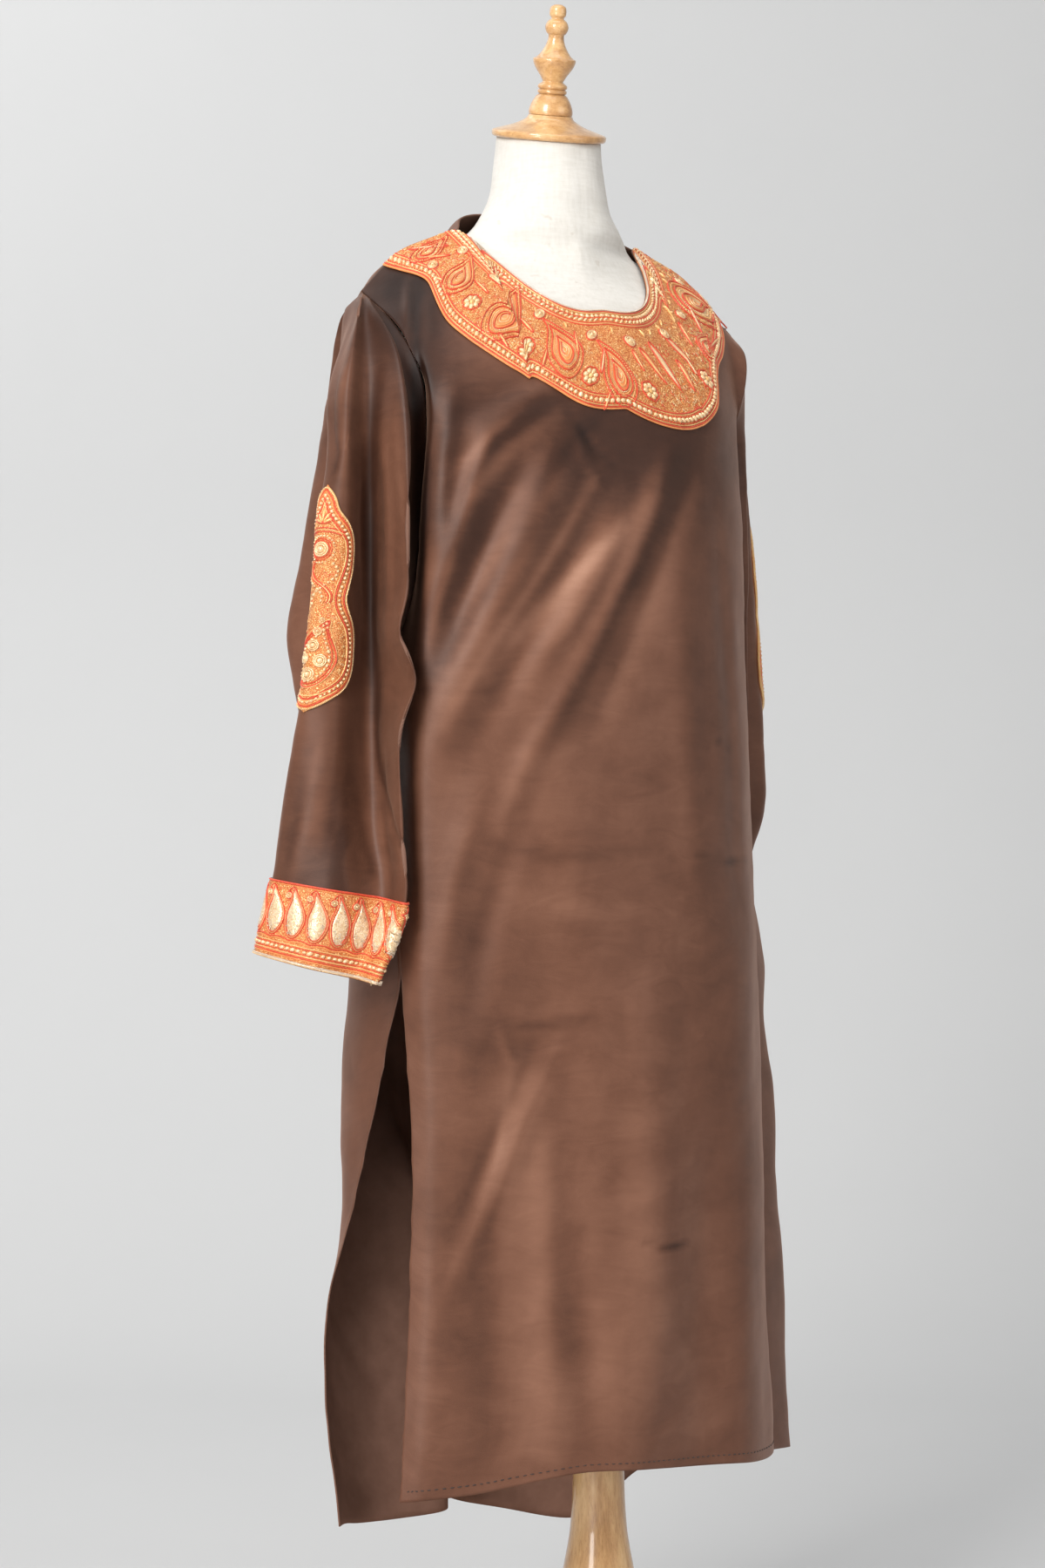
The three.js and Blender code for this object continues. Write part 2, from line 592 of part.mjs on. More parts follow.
// ---- embroidered pieces, laid on the cloth --------------------------------------------------
// A point of a sheet between its grid points, on the very triangles its wall is made of.
function on(sh, row, col) {
  const i = clamp(Math.floor(row), 0, sh.m - 2);
  const j = clamp(Math.floor(col), 0, sh.n - 2);
  const [a, b] = [row - i, col - j];
  const pick = (grid) => {
    const [p00, p01, p11, p10] = [grid[i][j], grid[i][j + 1], grid[i + 1][j + 1], grid[i + 1][j]];
    const out = p00.clone();
    if (b >= a) return out.addScaledVector(p01.clone().sub(p00), b).addScaledVector(p11.clone().sub(p01), a);
    return out.addScaledVector(p10.clone().sub(p00), a).addScaledVector(p11.clone().sub(p10), b);
  };
  return { point: pick(sh.p), normal: pick(sh.normal).normalize() };
}
// A piece laid over a sheet: a wall that follows the sheet from above, cut to its outline.
const CUTTER_REACH = 9;          // how far the cutting solid reaches to each side of the cloth
function laidOn(host, places) {
  const rows = places.map((line) => line.map(([row, col]) => on(host, row, col)));
  const outline = {
    p: rows.map((line) => line.map((q) => q.point)),
    normal: rows.map((line) => line.map((q) => q.normal)),
    m: rows.length,
    n: rows[0].length,
    side: host.side,
    shift: new Map(),
  };
  const cutter = toSolid(wallGeometry(outline, -CUTTER_REACH, CUTTER_REACH));
  const layer = toSolid(wallGeometry({ ...host, shift: new Map() }, LAID_GAP, LAID_GAP + EMBROIDERY));
  const parts = layer.intersect(cutter).decompose();
  parts.sort((a, b) => b.volume() - a.volume());
  return fromSolid(parts[0]);
}

// The collar's scalloped outer edge: its distance from the middle of the neck, by the angle from
// straight down, on the flat cloth.
const COLLAR = table(['angle', 'reach'], [
  [-90, 185], [-80, 178], [-69, 172], [-60, 186], [-51, 202], [-45, 209], [-34, 223], [-27, 232],
  [-21, 236], [-14, 260], [-8, 273], [0, 281], [6, 284], [12, 283], [19, 274], [29, 250],
  [35, 228], [41, 213], [50, 206], [60, 200], [69, 196], [80, 188], [90, 186],
]);
function collarReach(dx) {
  let w = 0;
  for (let step = 0; step <= 300; step += 1) {
    const angle = THREE.MathUtils.radToDeg(Math.atan2(dx, step));
    if (Math.hypot(dx, step) <= at(COLLAR, 'angle', angle).reach) w = step;
  }
  return w;
}
const COLLAR_ROWS = 4;
const EDGE_INSET = 0.03;         // the collar starts this share of a row inside the neckline
function collarPlaces() {
  const lines = Array.from({ length: COLLAR_ROWS }, () => []);
  const half = 174;
  const count = 29;
  for (let k = 0; k < count; k += 1) {
    const dx = mix(-half, half, k / (count - 1));
    const s = (dx + SHOULDER_HALF) / (2 * SHOULDER_HALF);
    const col = (s - CORNER_S) / (1 - 2 * CORNER_S) * (COLS - 3) + 1;
    const total = frontLane(s).run[LANE_STEPS];
    const top = necklineW(dx);
    const reach = collarReach(dx);
    for (let i = 0; i < COLLAR_ROWS; i += 1) {
      const w = mix(top, reach, i / (COLLAR_ROWS - 1));
      const row = w < total
        ? Math.max(EDGE_INSET, (w - top) / (total - top) * TOP_ROWS)
        : TOP_ROWS + (w - total) / (CHEST_Z - LEVELS[0]);
      lines[i].push([row, col]);
    }
  }
  return lines;
}
add('collar', laidOn(frontSheet, collarPlaces()), 'tilla');

// A sleeve patch: an hourglass of two drops with a point at each end. span = its half width in
// columns of the sleeve.
const PATCH = table(['t', 'span'], [
  [0, 0.1], [0.06, 0.9], [0.14, 1.3], [0.24, 1.9], [0.34, 1.8], [0.44, 1.25], [0.52, 1.15],
  [0.62, 1.7], [0.74, 2.1], [0.86, 1.9], [0.94, 1.1], [1, 0.15],
]);
const PATCH_COLS = 11;
const PATCH_TOP_Z = 1206;
const PATCH_LOW_Z = 996;
function patchPlaces(sh, middle) {
  const zAt = (row) => on(sh, row, middle).point.z;
  const rowAt = (z) => {
    let row = 1;
    while (zAt(row) > z) row += 0.02;
    return row;
  };
  return PATCH.map(({ t, span }) => {
    const row = rowAt(mix(PATCH_TOP_Z, PATCH_LOW_Z, t));
    const across = (k) => span * (2 * k / (PATCH_COLS - 1) - 1);
    return Array.from({ length: PATCH_COLS }, (_, k) => [row, middle + across(k)]);
  });
}
add('sleeve_patch_right', laidOn(rightSheet, patchPlaces(rightSheet, MIDDLE - 0.9)), 'tilla');
add('sleeve_patch_left', laidOn(leftSheet, patchPlaces(leftSheet, MIDDLE)), 'tilla');

// A cuff band: all round the sleeve's end but for a stretch by the under seam.
const CUFF_ENDS = 1;
function cuffSheet(host) {
  const band = (grid) => grid.slice(host.m - 1 - CUFF_ROWS);
  const [p, normal] = [host.p, host.normal]
    .map((grid) => band(grid).map((row) => row.slice(CUFF_ENDS, LAST + 1 - CUFF_ENDS)));
  return { p, normal, m: p.length, n: p[0].length, side: host.side, shift: new Map() };
}
for (const [name, host] of [['cuff_right', rightSheet], ['cuff_left', leftSheet]]) {
  add(name, wallGeometry(cuffSheet(host), LAID_GAP, LAID_GAP + EMBROIDERY), 'tilla');
}

// ---- dress form -----------------------------------------------------------------------------
const CLOTH_REACH = 6;           // how deep the cutting solid of the form reaches beyond the cloth
const FORM_GAP = 1.8;            // clearance between form and cloth
const FORM_REST = 0.5;           // where the cloth rests on the form
const FORM_SIDES = 36;
const NECK_TOP_Z = 1563;
const NECK_BASE_Z = 1490;        // above this the neck's sections tip forward
const CAP_AXIS = V(-0.054, -0.225, 0.973).normalize(); // the neck's top tips forward
// Sections of the form: round is the power of its oval, over 1 where the shoulders taper to an edge.
const FORM = table(['z', 'cx', 'cy', 'half', 'front', 'back', 'round'], [
  [822, -4, 0, 150, 96, 104, 0.92],
  [860, -8, 0, 160, 104, 112, 0.92],
  [960, -16, 4, 146, 100, 104, 0.92],
  [1050, -24, 6, 132, 100, 90, 0.92],
  [1150, -32, 6, 146, 116, 104, 0.92],
  [1240, -38, 6, 160, 130, 122, 0.92],
  [1310, -42, 8, 170, 128, 126, 0.95],
  [1360, -43, 14, 180, 106, 122, 1],
  [1396, -43, 24, 184, 88, 106, 1.15],
  [1418, -43, 30, 165, 74, 88, 1.35],
  [1436, -43, 33, 138, 70, 74, 1.5],
  [1452, -42, 34, 103, 65, 64, 1.45],
  [1464, -41, 34, 80, 62, 59, 1.15],
  [1476, -40, 33, 63, 59, 57, 0.95],
  [1500, -39, 32, 56.5, 57, 55, 0.92],
  [1530, -39, 31, 53, 53, 53, 0.92],
  [NECK_TOP_Z, -39, 30, 50, 50, 50, 0.92],
]);
const FORM_STEPS = 30;
// The cloth in front of the form (or behind it) at one height: a place for each lane from right to
// left, or none where the lane doesn't reach so high.
const LANES = Array.from({ length: 47 }, (_, k) => mix(CORNER_S, 1 - CORNER_S, k / 46));
function clothLine(topAt, level, z) {
  return LANES.map((s) => {
    if (z <= CHEST_Z) return level(s, z);
    let before = topAt(s, 0);
    if (before.z < z) return null;
    for (let step = 1; step <= LANE_STEPS; step += 1) {
      const next = topAt(s, step / LANE_STEPS);
      if (next.z <= z) return before.lerp(next, (before.z - z) / (before.z - next.z));
      before = next;
    }
    return before;
  });
}
function yOnLine(line, x) {
  const i = line.findIndex((q, k) => k > 0 && q && line[k - 1] && line[k - 1].x < x && q.x >= x);
  return i < 0 ? null : mix(line[i - 1].y, line[i].y, (x - line[i - 1].x) / (line[i].x - line[i - 1].x));
}
const clothEnvelope = [frontSheet, backSheet]
  .map((sh) => toSolid(wallGeometry(sh, -CLOTH - FORM_REST, CLOTH_REACH)))
  .reduce((all, one) => all.add(one));
function formGeometry() {
  const rings = [];
  for (let i = 0; i <= FORM_STEPS; i += 1) {
    const z = mix(FORM[0].z, NECK_TOP_Z, i / FORM_STEPS);
    const r = at(FORM, 'z', z);
    const tip = smooth((z - NECK_BASE_Z) / (NECK_TOP_Z - NECK_BASE_Z));
    const frontLine = clothLine(frontTopAt, frontLevel, z);
    const backLine = clothLine(backTopAt, backLevel, z);
    rings.push(Array.from({ length: FORM_SIDES }, (_, k) => {
      const angle = 2 * Math.PI * k / FORM_SIDES;
      const [c, q] = [Math.cos(angle), Math.sin(angle)];
      const x = r.cx + r.half * Math.sign(c) * Math.abs(c) ** r.round;
      const depth = q < 0 ? r.front : r.back;
      let y = r.cy + depth * Math.sign(q) * Math.abs(q) ** r.round;
      const cloth = yOnLine(q < 0 ? frontLine : backLine, x);
      const room = CLOTH + FORM_GAP;
      if (cloth !== null) y = q < 0 ? Math.max(y, cloth + room) : Math.min(y, cloth - room);
      const lean = -(CAP_AXIS.x * (x - r.cx) + CAP_AXIS.y * (y - r.cy)) / CAP_AXIS.z;
      return V(x, y, z + lean * tip);
    }));
  }
  return fromSolid(toSolid(ringGeometry(rings)).subtract(clothEnvelope));
}
function ringGeometry(rings) {
  const position = [];
  rings.forEach((ring) => ring.forEach((q) => position.push(q.x, q.y, q.z)));
  const n = rings[0].length;
  const index = [];
  for (let i = 0; i < rings.length - 1; i += 1) {
    for (let k = 0; k < n; k += 1) {
      const next = (k + 1) % n;
      const [a, b, c, d] = [i * n + k, i * n + next, (i + 1) * n + next, (i + 1) * n + k];
      index.push(a, b, c, a, c, d);
    }
  }
  for (const [ring, flip] of [[0, true], [rings.length - 1, false]]) {
    const middle = rings[ring].reduce((sum, q) => sum.add(q), V(0, 0, 0)).divideScalar(n);
    position.push(middle.x, middle.y, middle.z);
    const hub = position.length / 3 - 1;
    for (let k = 0; k < n; k += 1) {
      const [a, b] = [ring * n + k, ring * n + (k + 1) % n];
      index.push(...(flip ? [hub, b, a] : [hub, a, b]));
    }
  }
  const geometry = new THREE.BufferGeometry();
  geometry.setAttribute('position', new THREE.Float32BufferAttribute(position, 3));
  geometry.setIndex(index);
  return geometry;
}
add('form', formGeometry(), 'linen');

// ---- turned wood ----------------------------------------------------------------------------
// A turned solid from named heights and radii, starting and ending on the axis.
function turned(profile, sides) {
  const points = [[0, profile[0][1]], ...profile, [0, profile.at(-1)[1]]];
  const geometry = new THREE.LatheGeometry(points.map(([r, h]) => new THREE.Vector2(r, h)), sides);
  geometry.rotateX(Math.PI / 2);
  return geometry;
}
const neckTop = new THREE.Group();
neckTop.position.set(FORM.at(-1).cx, FORM.at(-1).cy, NECK_TOP_Z);
neckTop.quaternion.setFromUnitVectors(V(0, 0, 1), CAP_AXIS);
pheran.add(neckTop);
const REST_GAP = 0.3;
const CAP_PROFILE = [
  [54, 0], [56, 1.5], [56.5, 4.5], [55, 7], [46, 10], [34, 14], [24, 19.5], [21.4, 23.5],
];
const FINIAL_PROFILE = [
  [21.4, 0], [21.6, 4], [19.5, 11], [16, 17], [14, 19.2], [12.6, 20], [14.2, 21], [14.2, 23.5], [12.8, 24.6],
  [14.2, 25.7], [14.2, 28.5], [10.4, 31.5], [10.6, 33], [13.5, 38], [18, 44.5], [20.6, 50], [20.8, 53.6],
  [18.8, 54.6], [15, 58], [10.5, 65], [8, 72], [7.8, 76.5], [9.6, 78.5], [11.2, 82], [11.3, 85.5],
  [9.4, 89.5], [6.4, 92], [6.6, 93.5], [8, 95.5], [8.2, 100], [7.2, 103.5], [4, 105.6],
];
const cap = add('neck_cap', turned(CAP_PROFILE, 32), 'wood', neckTop);
cap.position.z = REST_GAP;
const finial = add('finial', turned(FINIAL_PROFILE, 24), 'wood', neckTop);
finial.position.z = CAP_PROFILE.at(-1)[1] + 2 * REST_GAP;

const BASE_HEIGHT = 26;
const BASE_PROFILE = [[168, 0], [172, 3], [172, 14], [166, 18], [160, 19], [156, 23], [150, BASE_HEIGHT]];
const POLE_PROFILE = [
  [58, 0], [60, 4], [60, 18], [56, 24], [50, 28], [52, 34], [50, 42], [44, 62], [39, 90], [36.4, 120],
  [34.6, 135], [30, 160], [27.3, 182], [25.4, 222], [24.6, 300], [24, 500],
];
add('base', turned(BASE_PROFILE, 40), 'wood');
const pole = [...POLE_PROFILE, [24, FORM[0].z - BASE_HEIGHT - 2 * REST_GAP]];
add('pole', turned(pole, 28), 'wood').position.set(0, 0, BASE_HEIGHT + REST_GAP);

export default pheran;
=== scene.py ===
import math

import bpy
import numpy as np
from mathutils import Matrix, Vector
from mathutils.bvhtree import BVHTree


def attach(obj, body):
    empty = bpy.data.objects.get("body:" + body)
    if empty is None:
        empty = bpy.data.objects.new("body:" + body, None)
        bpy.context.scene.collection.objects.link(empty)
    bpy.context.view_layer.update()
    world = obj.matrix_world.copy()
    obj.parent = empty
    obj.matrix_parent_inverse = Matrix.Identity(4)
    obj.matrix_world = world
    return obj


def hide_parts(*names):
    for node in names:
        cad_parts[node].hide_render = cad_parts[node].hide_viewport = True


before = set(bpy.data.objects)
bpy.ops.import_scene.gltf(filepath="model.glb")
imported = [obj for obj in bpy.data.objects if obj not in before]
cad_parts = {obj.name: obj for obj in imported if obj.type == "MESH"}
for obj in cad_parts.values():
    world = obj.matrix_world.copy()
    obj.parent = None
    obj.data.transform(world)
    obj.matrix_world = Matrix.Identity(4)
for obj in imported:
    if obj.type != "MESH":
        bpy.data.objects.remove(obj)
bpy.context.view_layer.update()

MM = 0.001
VELVET_THICK, GROUND_THICK = 1.5, 1.2
rng = np.random.RandomState(11)

# ---- sizes in mm, most of them the CAD's own --------------------------------------------------
GARMENT_X, SHOULDER_HALF, NECK_HALF = -43.0, 205.0, 94.0
NECK_SHOULDER_Z, RIDGE_Y, SHOULDER_SLOPE = 1468.0, 33.0, 0.38
TIP_ROUND_START, TIP_ROUND = 150.0, 0.009
CHEST_Z, UNDERARM_Z, SLIT_TOP_Z = 1270.0, 1035.0, 755.0
ARM_TOP_Z, SEAM_TIP_Z = 1399.0, 1398.6  # the armhole's first level, the shoulder seam's tip
BACK_NECK_SET, BACK_NECK_RISE = 52, 27  # how far behind and above the ridge the back neck lies
NECK_DEPTH = 168.0
TURN = math.radians(32)
CORNER_S = 0.05
# Handles of the curves from the shoulder seam to the chest.
FRONT_TOP_HANDLE, FRONT_CHEST_HANDLE = [0, -46, -25.3], [0, 2, 72]
BACK_TOP_HANDLE, BACK_CHEST_HANDLE = [0, 40, -6], [0, -4, 92]


class Tab:
    """Rows of named columns, read smoothly at any value of the first column."""

    def __init__(self, names, rows):
        a = np.array(rows, float)
        if a[0, 0] > a[-1, 0]:
            a = a[::-1]
        self.k = a[:, 0]
        self.c = {n: a[:, i] for i, n in enumerate(names.split())}

    def __call__(self, name, v):
        k, c, v = self.k, self.c[name], np.asarray(v, float)
        i = np.clip(np.searchsorted(k, v), 1, len(k) - 1)
        lo, hi = np.maximum(i - 2, 0), np.minimum(i + 1, len(k) - 1)
        span = k[i] - k[i - 1]
        t = np.clip((v - k[i - 1]) / span, 0, 1)
        sa = (c[i] - c[lo]) / (k[i] - k[lo])
        sb = (c[hi] - c[i - 1]) / (k[hi] - k[i - 1])
        t2, t3 = t * t, t**3
        return (c[i - 1] * (2 * t3 - 3 * t2 + 1) + c[i] * (3 * t2 - 2 * t3)
                + span * (sa * (t3 - 2 * t2 + t) + sb * (t3 - t2)))


FRONT = Tab("z rx ry lx ly cy", [
    [1270, -242, -82, 134, -50, -130], [1180, -251, -80, 140, -48, -137],
    [1035, -253, -79, 147, -47, -141], [900, -253, -79, 153, -47, -143],
    [755, -249, -82, 159, -48, -144], [600, -244, -93, 160, -54, -146],
    [450, -250, -97, 160, -58, -148], [268, -262, -100, 162, -66, -150]])
EDGE_FRONT = Tab("z rx ry lx ly", [
    [1399, -248, 33, 162, 33], [1385, -249, 8, 162, 8], [1360, -248, -34, 156, -28],
    [1330, -244, -58, 148, -42], [1300, -236, -64, 138, -44], [1255, -228, -54, 128, -32],
    [1180, -226, -42, 128, -24], [1100, -230, -28, 134, -16], [1035, -240, -8, 144, -4],
    [900, -249, -32, 155, -22], [755, -256, -56, 163, -38], [600, -256, -76, 166, -44],
    [450, -262, -81, 167, -48], [268, -274, -86, 170, -57]])
EDGE_BACK = Tab("z rx ry lx ly", [
    [1399, -248, 33, 162, 33], [1380, -246, 62, 160, 62], [1350, -240, 88, 152, 88],
    [1300, -234, 104, 142, 106], [1255, -230, 106, 136, 110], [1180, -228, 92, 136, 98],
    [1100, -231, 50, 139, 56], [1035, -240, -8, 144, -4], [755, -256, -56, 163, -38],
    [690, -256, -29, 162, -28], [626, -257, -9, 163, -30], [544, -260, 25, 165, -33],
    [424, -265, 72, 167, -36], [330, -267, 69, 169, -38], [225, -268, 40, 171, -40]])
BACK = Tab("z bulge flare cy", [
    [1270, 6, 0, 146], [1180, 12, 0, 152], [1035, 22, 0, 152], [900, 24, 10, 150],
    [755, 24, 38, 152], [600, 16, 60, 158], [450, -24, 68, 166], [225, -46, 70, 176]])
FRONT_HEM = Tab("s z", [
    [0, 271], [0.09, 275], [0.19, 279], [0.30, 288], [0.37, 292], [0.45, 291], [0.55, 287],
    [0.66, 282], [0.76, 278], [0.87, 271], [0.92, 268], [1, 268]])
BACK_HEM = Tab("s z", [
    [0, 225], [0.05, 222], [0.10, 216], [0.15, 211], [0.20, 209], [0.30, 211], [0.38, 213],
    [0.45, 207], [0.55, 188], [0.62, 175], [0.67, 178], [0.71, 203], [0.74, 223], [0.80, 233],
    [0.90, 246], [1, 264]])
FRONT_FOLDS = [  # s0, z0, s1, z1, width, height
    [0.30, 900, 0.24, 300, 34, -8], [0.52, 800, 0.46, 268, 34, 8],
    [0.80, 860, 0.82, 300, 34, 6], [0.67, 640, 0.66, 268, 30, -7]]
BACK_FOLDS = [
    [0.29, 700, 0.27, 180, 44, -62], [0.42, 900, 0.42, 180, 30, 14],
    [0.54, 1150, 0.55, 180, 36, 10], [0.66, 900, 0.70, 180, 34, -22],
    [0.82, 760, 0.84, 220, 30, 8], [0.30, 1250, 0.36, 900, 30, 8],
    [0.72, 1250, 0.64, 900, 30, 8]]
SLEEVE = Tab("z drop ru rd vu vd fu fd gu gd bu bd ku kd", [
    [1399, 0, -226, 130, -230, 130, -232, 126, -236, 112, -242, 104, -244, 90],
    [1385, 0, -210, 162, -222, 156, -231, 146, -240, 126, -250, 104, -252, 76],
    [1340, 0, -190, 198, -220, 172, -244, 170, -245, 134, -248, 100, -258, 61],
    [1290, 0, -181, 208, -218, 170, -256, 186, -248, 134, -263, 90, -267, 35],
    [1230, 0, -179, 214, -217, 166, -258, 194, -246, 130, -273, 84, -272, 36],
    [1150, 0, -179, 218, -217, 162, -265, 196, -248, 126, -286, 82, -278, 42],
    [1075, 0, -178, 222, -217, 160, -272, 196, -254, 128, -300, 82, -287, 50],
    [1030, 3, -172, 228, -217, 160, -276, 196, -260, 134, -294, 90, -281, 70],
    [975, 8, -180, 226, -217, 166, -286, 194, -272, 150, -283, 116, -263, 100],
    [905, 14, -178, 222, -213, 176, -298, 192, -294, 160, -284, 130, -249, 126],
    [840, 24, -175, 222, -206, 196, -307, 194, -304, 166, -288, 142, -241, 139],
    [773, 30, -202, 220, -228, 214, -321, 200, -320, 178, -302, 158, -255, 155]])
INNER_LOWER = Tab("z u d", [[1035, -199, 136], [985, -203, 154], [905, -200, 173],
                            [840, -197, 187], [773, -213, 197]])
LEFT_SLEEVE = Tab("z drop ax ay vx vy fx fy bx by kx ky ix iy", [
    [1399, 0, 165, 26, 168, 30, 170, 34, 170, 38, 168, 40, 165, 40],
    [1385, 0, 168, 10, 172, 22, 178, 36, 180, 54, 176, 70, 168, 76],
    [1340, 0, 168, -8, 172, 14, 187, 30, 192, 70, 182, 104, 168, 112],
    [1290, 0, 160, -24, 168, 8, 189, 22, 198, 76, 180, 120, 160, 124],
    [1230, 0, 156, -32, 166, 6, 194, 20, 206, 82, 184, 130, 158, 132],
    [1150, 0, 158, -32, 168, 6, 202, 22, 218, 88, 190, 136, 158, 130],
    [1075, 0, 160, -28, 170, 8, 208, 22, 228, 94, 194, 138, 164, 116],
    [1030, 4, 162, -26, 172, 8, 212, 22, 231, 96, 198, 137, 168, 104],
    [975, 8, 168, -16, 178, 12, 216, 22, 234, 98, 204, 142, 172, 100],
    [905, 14, 172, 0, 184, 20, 219, 25, 236, 108, 208, 150, 174, 96],
    [860, 18, 174, 22, 188, 36, 217, 44, 234, 118, 210, 158, 178, 98],
    [773, 26, 182, 66, 196, 74, 214, 86, 226, 146, 208, 184, 186, 128]])
LEFT_UNDER = Tab("z x y", [[1035, 144, -4], [985, 164, 14], [905, 170, 30],
                           [840, 178, 52], [773, 182, 92]])
FORM = Tab("z cx cy half front back round", [
    [822, -4, 0, 150, 96, 104, 0.92], [860, -8, 0, 160, 104, 112, 0.92],
    [960, -16, 4, 146, 100, 104, 0.92], [1050, -24, 6, 132, 100, 90, 0.92],
    [1150, -32, 6, 146, 116, 104, 0.92], [1240, -38, 6, 160, 130, 122, 0.92],
    [1310, -42, 8, 170, 128, 126, 0.95], [1360, -43, 14, 180, 106, 122, 1],
    [1396, -43, 24, 184, 88, 106, 1.15], [1418, -43, 30, 165, 74, 88, 1.35],
    [1436, -43, 33, 138, 70, 74, 1.5], [1452, -42, 34, 103, 65, 64, 1.45],
    [1464, -41, 34, 86, 64, 64, 1.1], [1476, -40, 33, 73, 60, 62, 0.95],
    [1488, -40, 33, 64, 58, 60, 0.92], [1506, -39, 32, 57, 57, 56, 0.92],
    [1530, -39, 31, 53, 53, 53, 0.92], [1563, -39, 30, 50, 50, 50, 0.92]])
COLLAR = Tab("angle reach", [
    [-90, 185], [-80, 178], [-69, 172], [-60, 186], [-51, 202], [-45, 209], [-34, 223],
    [-27, 234], [-22, 240], [-18, 249], [-14, 259], [-8, 273], [0, 281], [6, 284], [12, 283],
    [19, 274], [29, 250], [35, 228], [41, 213], [50, 206], [60, 200], [69, 196],
    [80, 188], [90, 186]])


def smooth(t):
    t = np.clip(t, 0, 1)
    return t * t * (3 - 2 * t)


def mix(a, b, t):
    return a + (b - a) * t


def vec(x, y, z):
    return np.stack(np.broadcast_arrays(np.asarray(x, float), y, z), -1)


def angles(n):
    """Angles spread evenly once around."""
    return np.linspace(0, 2 * np.pi, n, endpoint=False)


def circle(a):
    """Places on a unit circle."""
    return np.stack([np.cos(a), np.sin(a)], 1)


def joined(line):
    """A line with its first place again at its end."""
    return np.concatenate([line, line[:1]])


def quads(i):
    """The four corners of each cell in a grid of vertex numbers."""
    return np.stack([i[:-1, :-1], i[:-1, 1:], i[1:, 1:], i[1:, :-1]], -1)


# ---- the garment's base surfaces, finer than the CAD's ---------------------------------------
def fold_height(folds, s, z, width):
    """How far the drape folds push a level's cloth out, from tables of folds."""
    total = 0
    for s0, z0, s1, z1, wide, height in folds:
        t = np.clip((z0 - z) / (z0 - z1), 0, 1)
        beyond = np.where(z > z0, z - z0, np.maximum(0, z1 - z))
        fade = np.exp(-((beyond / 60) ** 2)) * smooth(t / 0.35)
        across = (s - mix(s0, s1, t)) * width
        total = total + height * fade * np.exp(-((across / wide) ** 2))
    return total


def front_level(s, z):
    """The front below the chest, at shares s across and height z."""
    rx, ry, lx, ly, cy = (FRONT(n, z) for n in ("rx", "ry", "lx", "ly", "cy"))
    q = (s - CORNER_S) / (1 - 2 * CORNER_S)
    side = mix(ry, ly, q)
    y = side + (cy - side) * (1 - np.abs(2 * q - 1) ** 2.4)
    return vec(mix(rx, lx, q), y - fold_height(FRONT_FOLDS, s, z, lx - rx), z)


def back_level(s, z):
    """The back below the chest, at shares s across and height z."""
    rx, ry, lx, ly = (EDGE_BACK(n, z) for n in ("rx", "ry", "lx", "ly"))
    bulge, flare, cy = (BACK(n, z) for n in ("bulge", "flare", "cy"))
    a = np.pi * s
    half, side = (lx - rx) / 2, mix(ry, ly, s)
    fold = fold_height(BACK_FOLDS, s, z, 2 * half) * np.sin(a)
    bulge = np.where(s < 0.5, bulge, np.abs(bulge) * 0.6)
    flare = flare * np.exp(-(((s - 0.95) / 0.05) ** 2))
    x = (rx + lx) / 2 - half * np.cos(a) - bulge * np.sin(2 * a) + flare
    sin = np.clip(np.sin(a), 0, 1)
    return vec(x - fold * np.cos(a), side + (cy - side) * sin**0.9 + fold * sin, z)


def shoulder_point(s):
    """A place on the shoulder seam, at share s across."""
    dx = mix(-SHOULDER_HALF, SHOULDER_HALF, s)
    z = (NECK_SHOULDER_Z - SHOULDER_SLOPE * (np.abs(dx) - NECK_HALF)
         - TIP_ROUND * np.maximum(0, np.abs(dx) - TIP_ROUND_START) ** 2)
    return vec(GARMENT_X + dx, RIDGE_Y, z)


def bezier(a, b, c, d, t):
    t = np.asarray(t)[..., None]
    u = 1 - t
    return a * u**3 + b * 3 * u * u * t + c * 3 * u * t * t + d * t**3


def front_lane(s):
    """One lane of cloth from the shoulder seam to the chest: its points and the length to each."""
    a, d = shoulder_point(s), front_level(s, CHEST_Z)
    p = bezier(a, a + FRONT_TOP_HANDLE, d + FRONT_CHEST_HANDLE, d, np.linspace(0, 1, 61))
    run = np.r_[0, np.cumsum(np.linalg.norm(np.diff(p, axis=0), axis=1))]
    return p, run


def neckline_w(dx):
    """The front neckline's depth down the cloth, dx from the middle."""
    return NECK_DEPTH * np.sqrt(np.maximum(0, 1 - (dx / NECK_HALF) ** 2))


def back_lane(s):
    """The four points of one back lane's curve, from the seam to the chest."""
    a, d = shoulder_point(s), back_level(s, CHEST_Z)
    rise = math.sqrt(max(0, 1 - ((a[0] - GARMENT_X) / NECK_HALF) ** 2))
    if rise > 0:
        a = np.array([a[0], RIDGE_Y + BACK_NECK_SET * rise, NECK_SHOULDER_Z + BACK_NECK_RISE * rise])
    return a, a + BACK_TOP_HANDLE, d + BACK_CHEST_HANDLE, d


def edge_point(edge, left, z):
    """A panel's side edge at height z; the side seam is shared."""
    z = np.asarray(z, float)
    sewn = (z <= UNDERARM_Z) & (z >= SLIT_TOP_Z)
    n = ("lx", "ly") if left else ("rx", "ry")
    return vec(*(np.where(sewn, EDGE_FRONT(k, z), edge(k, z)) for k in n), z)


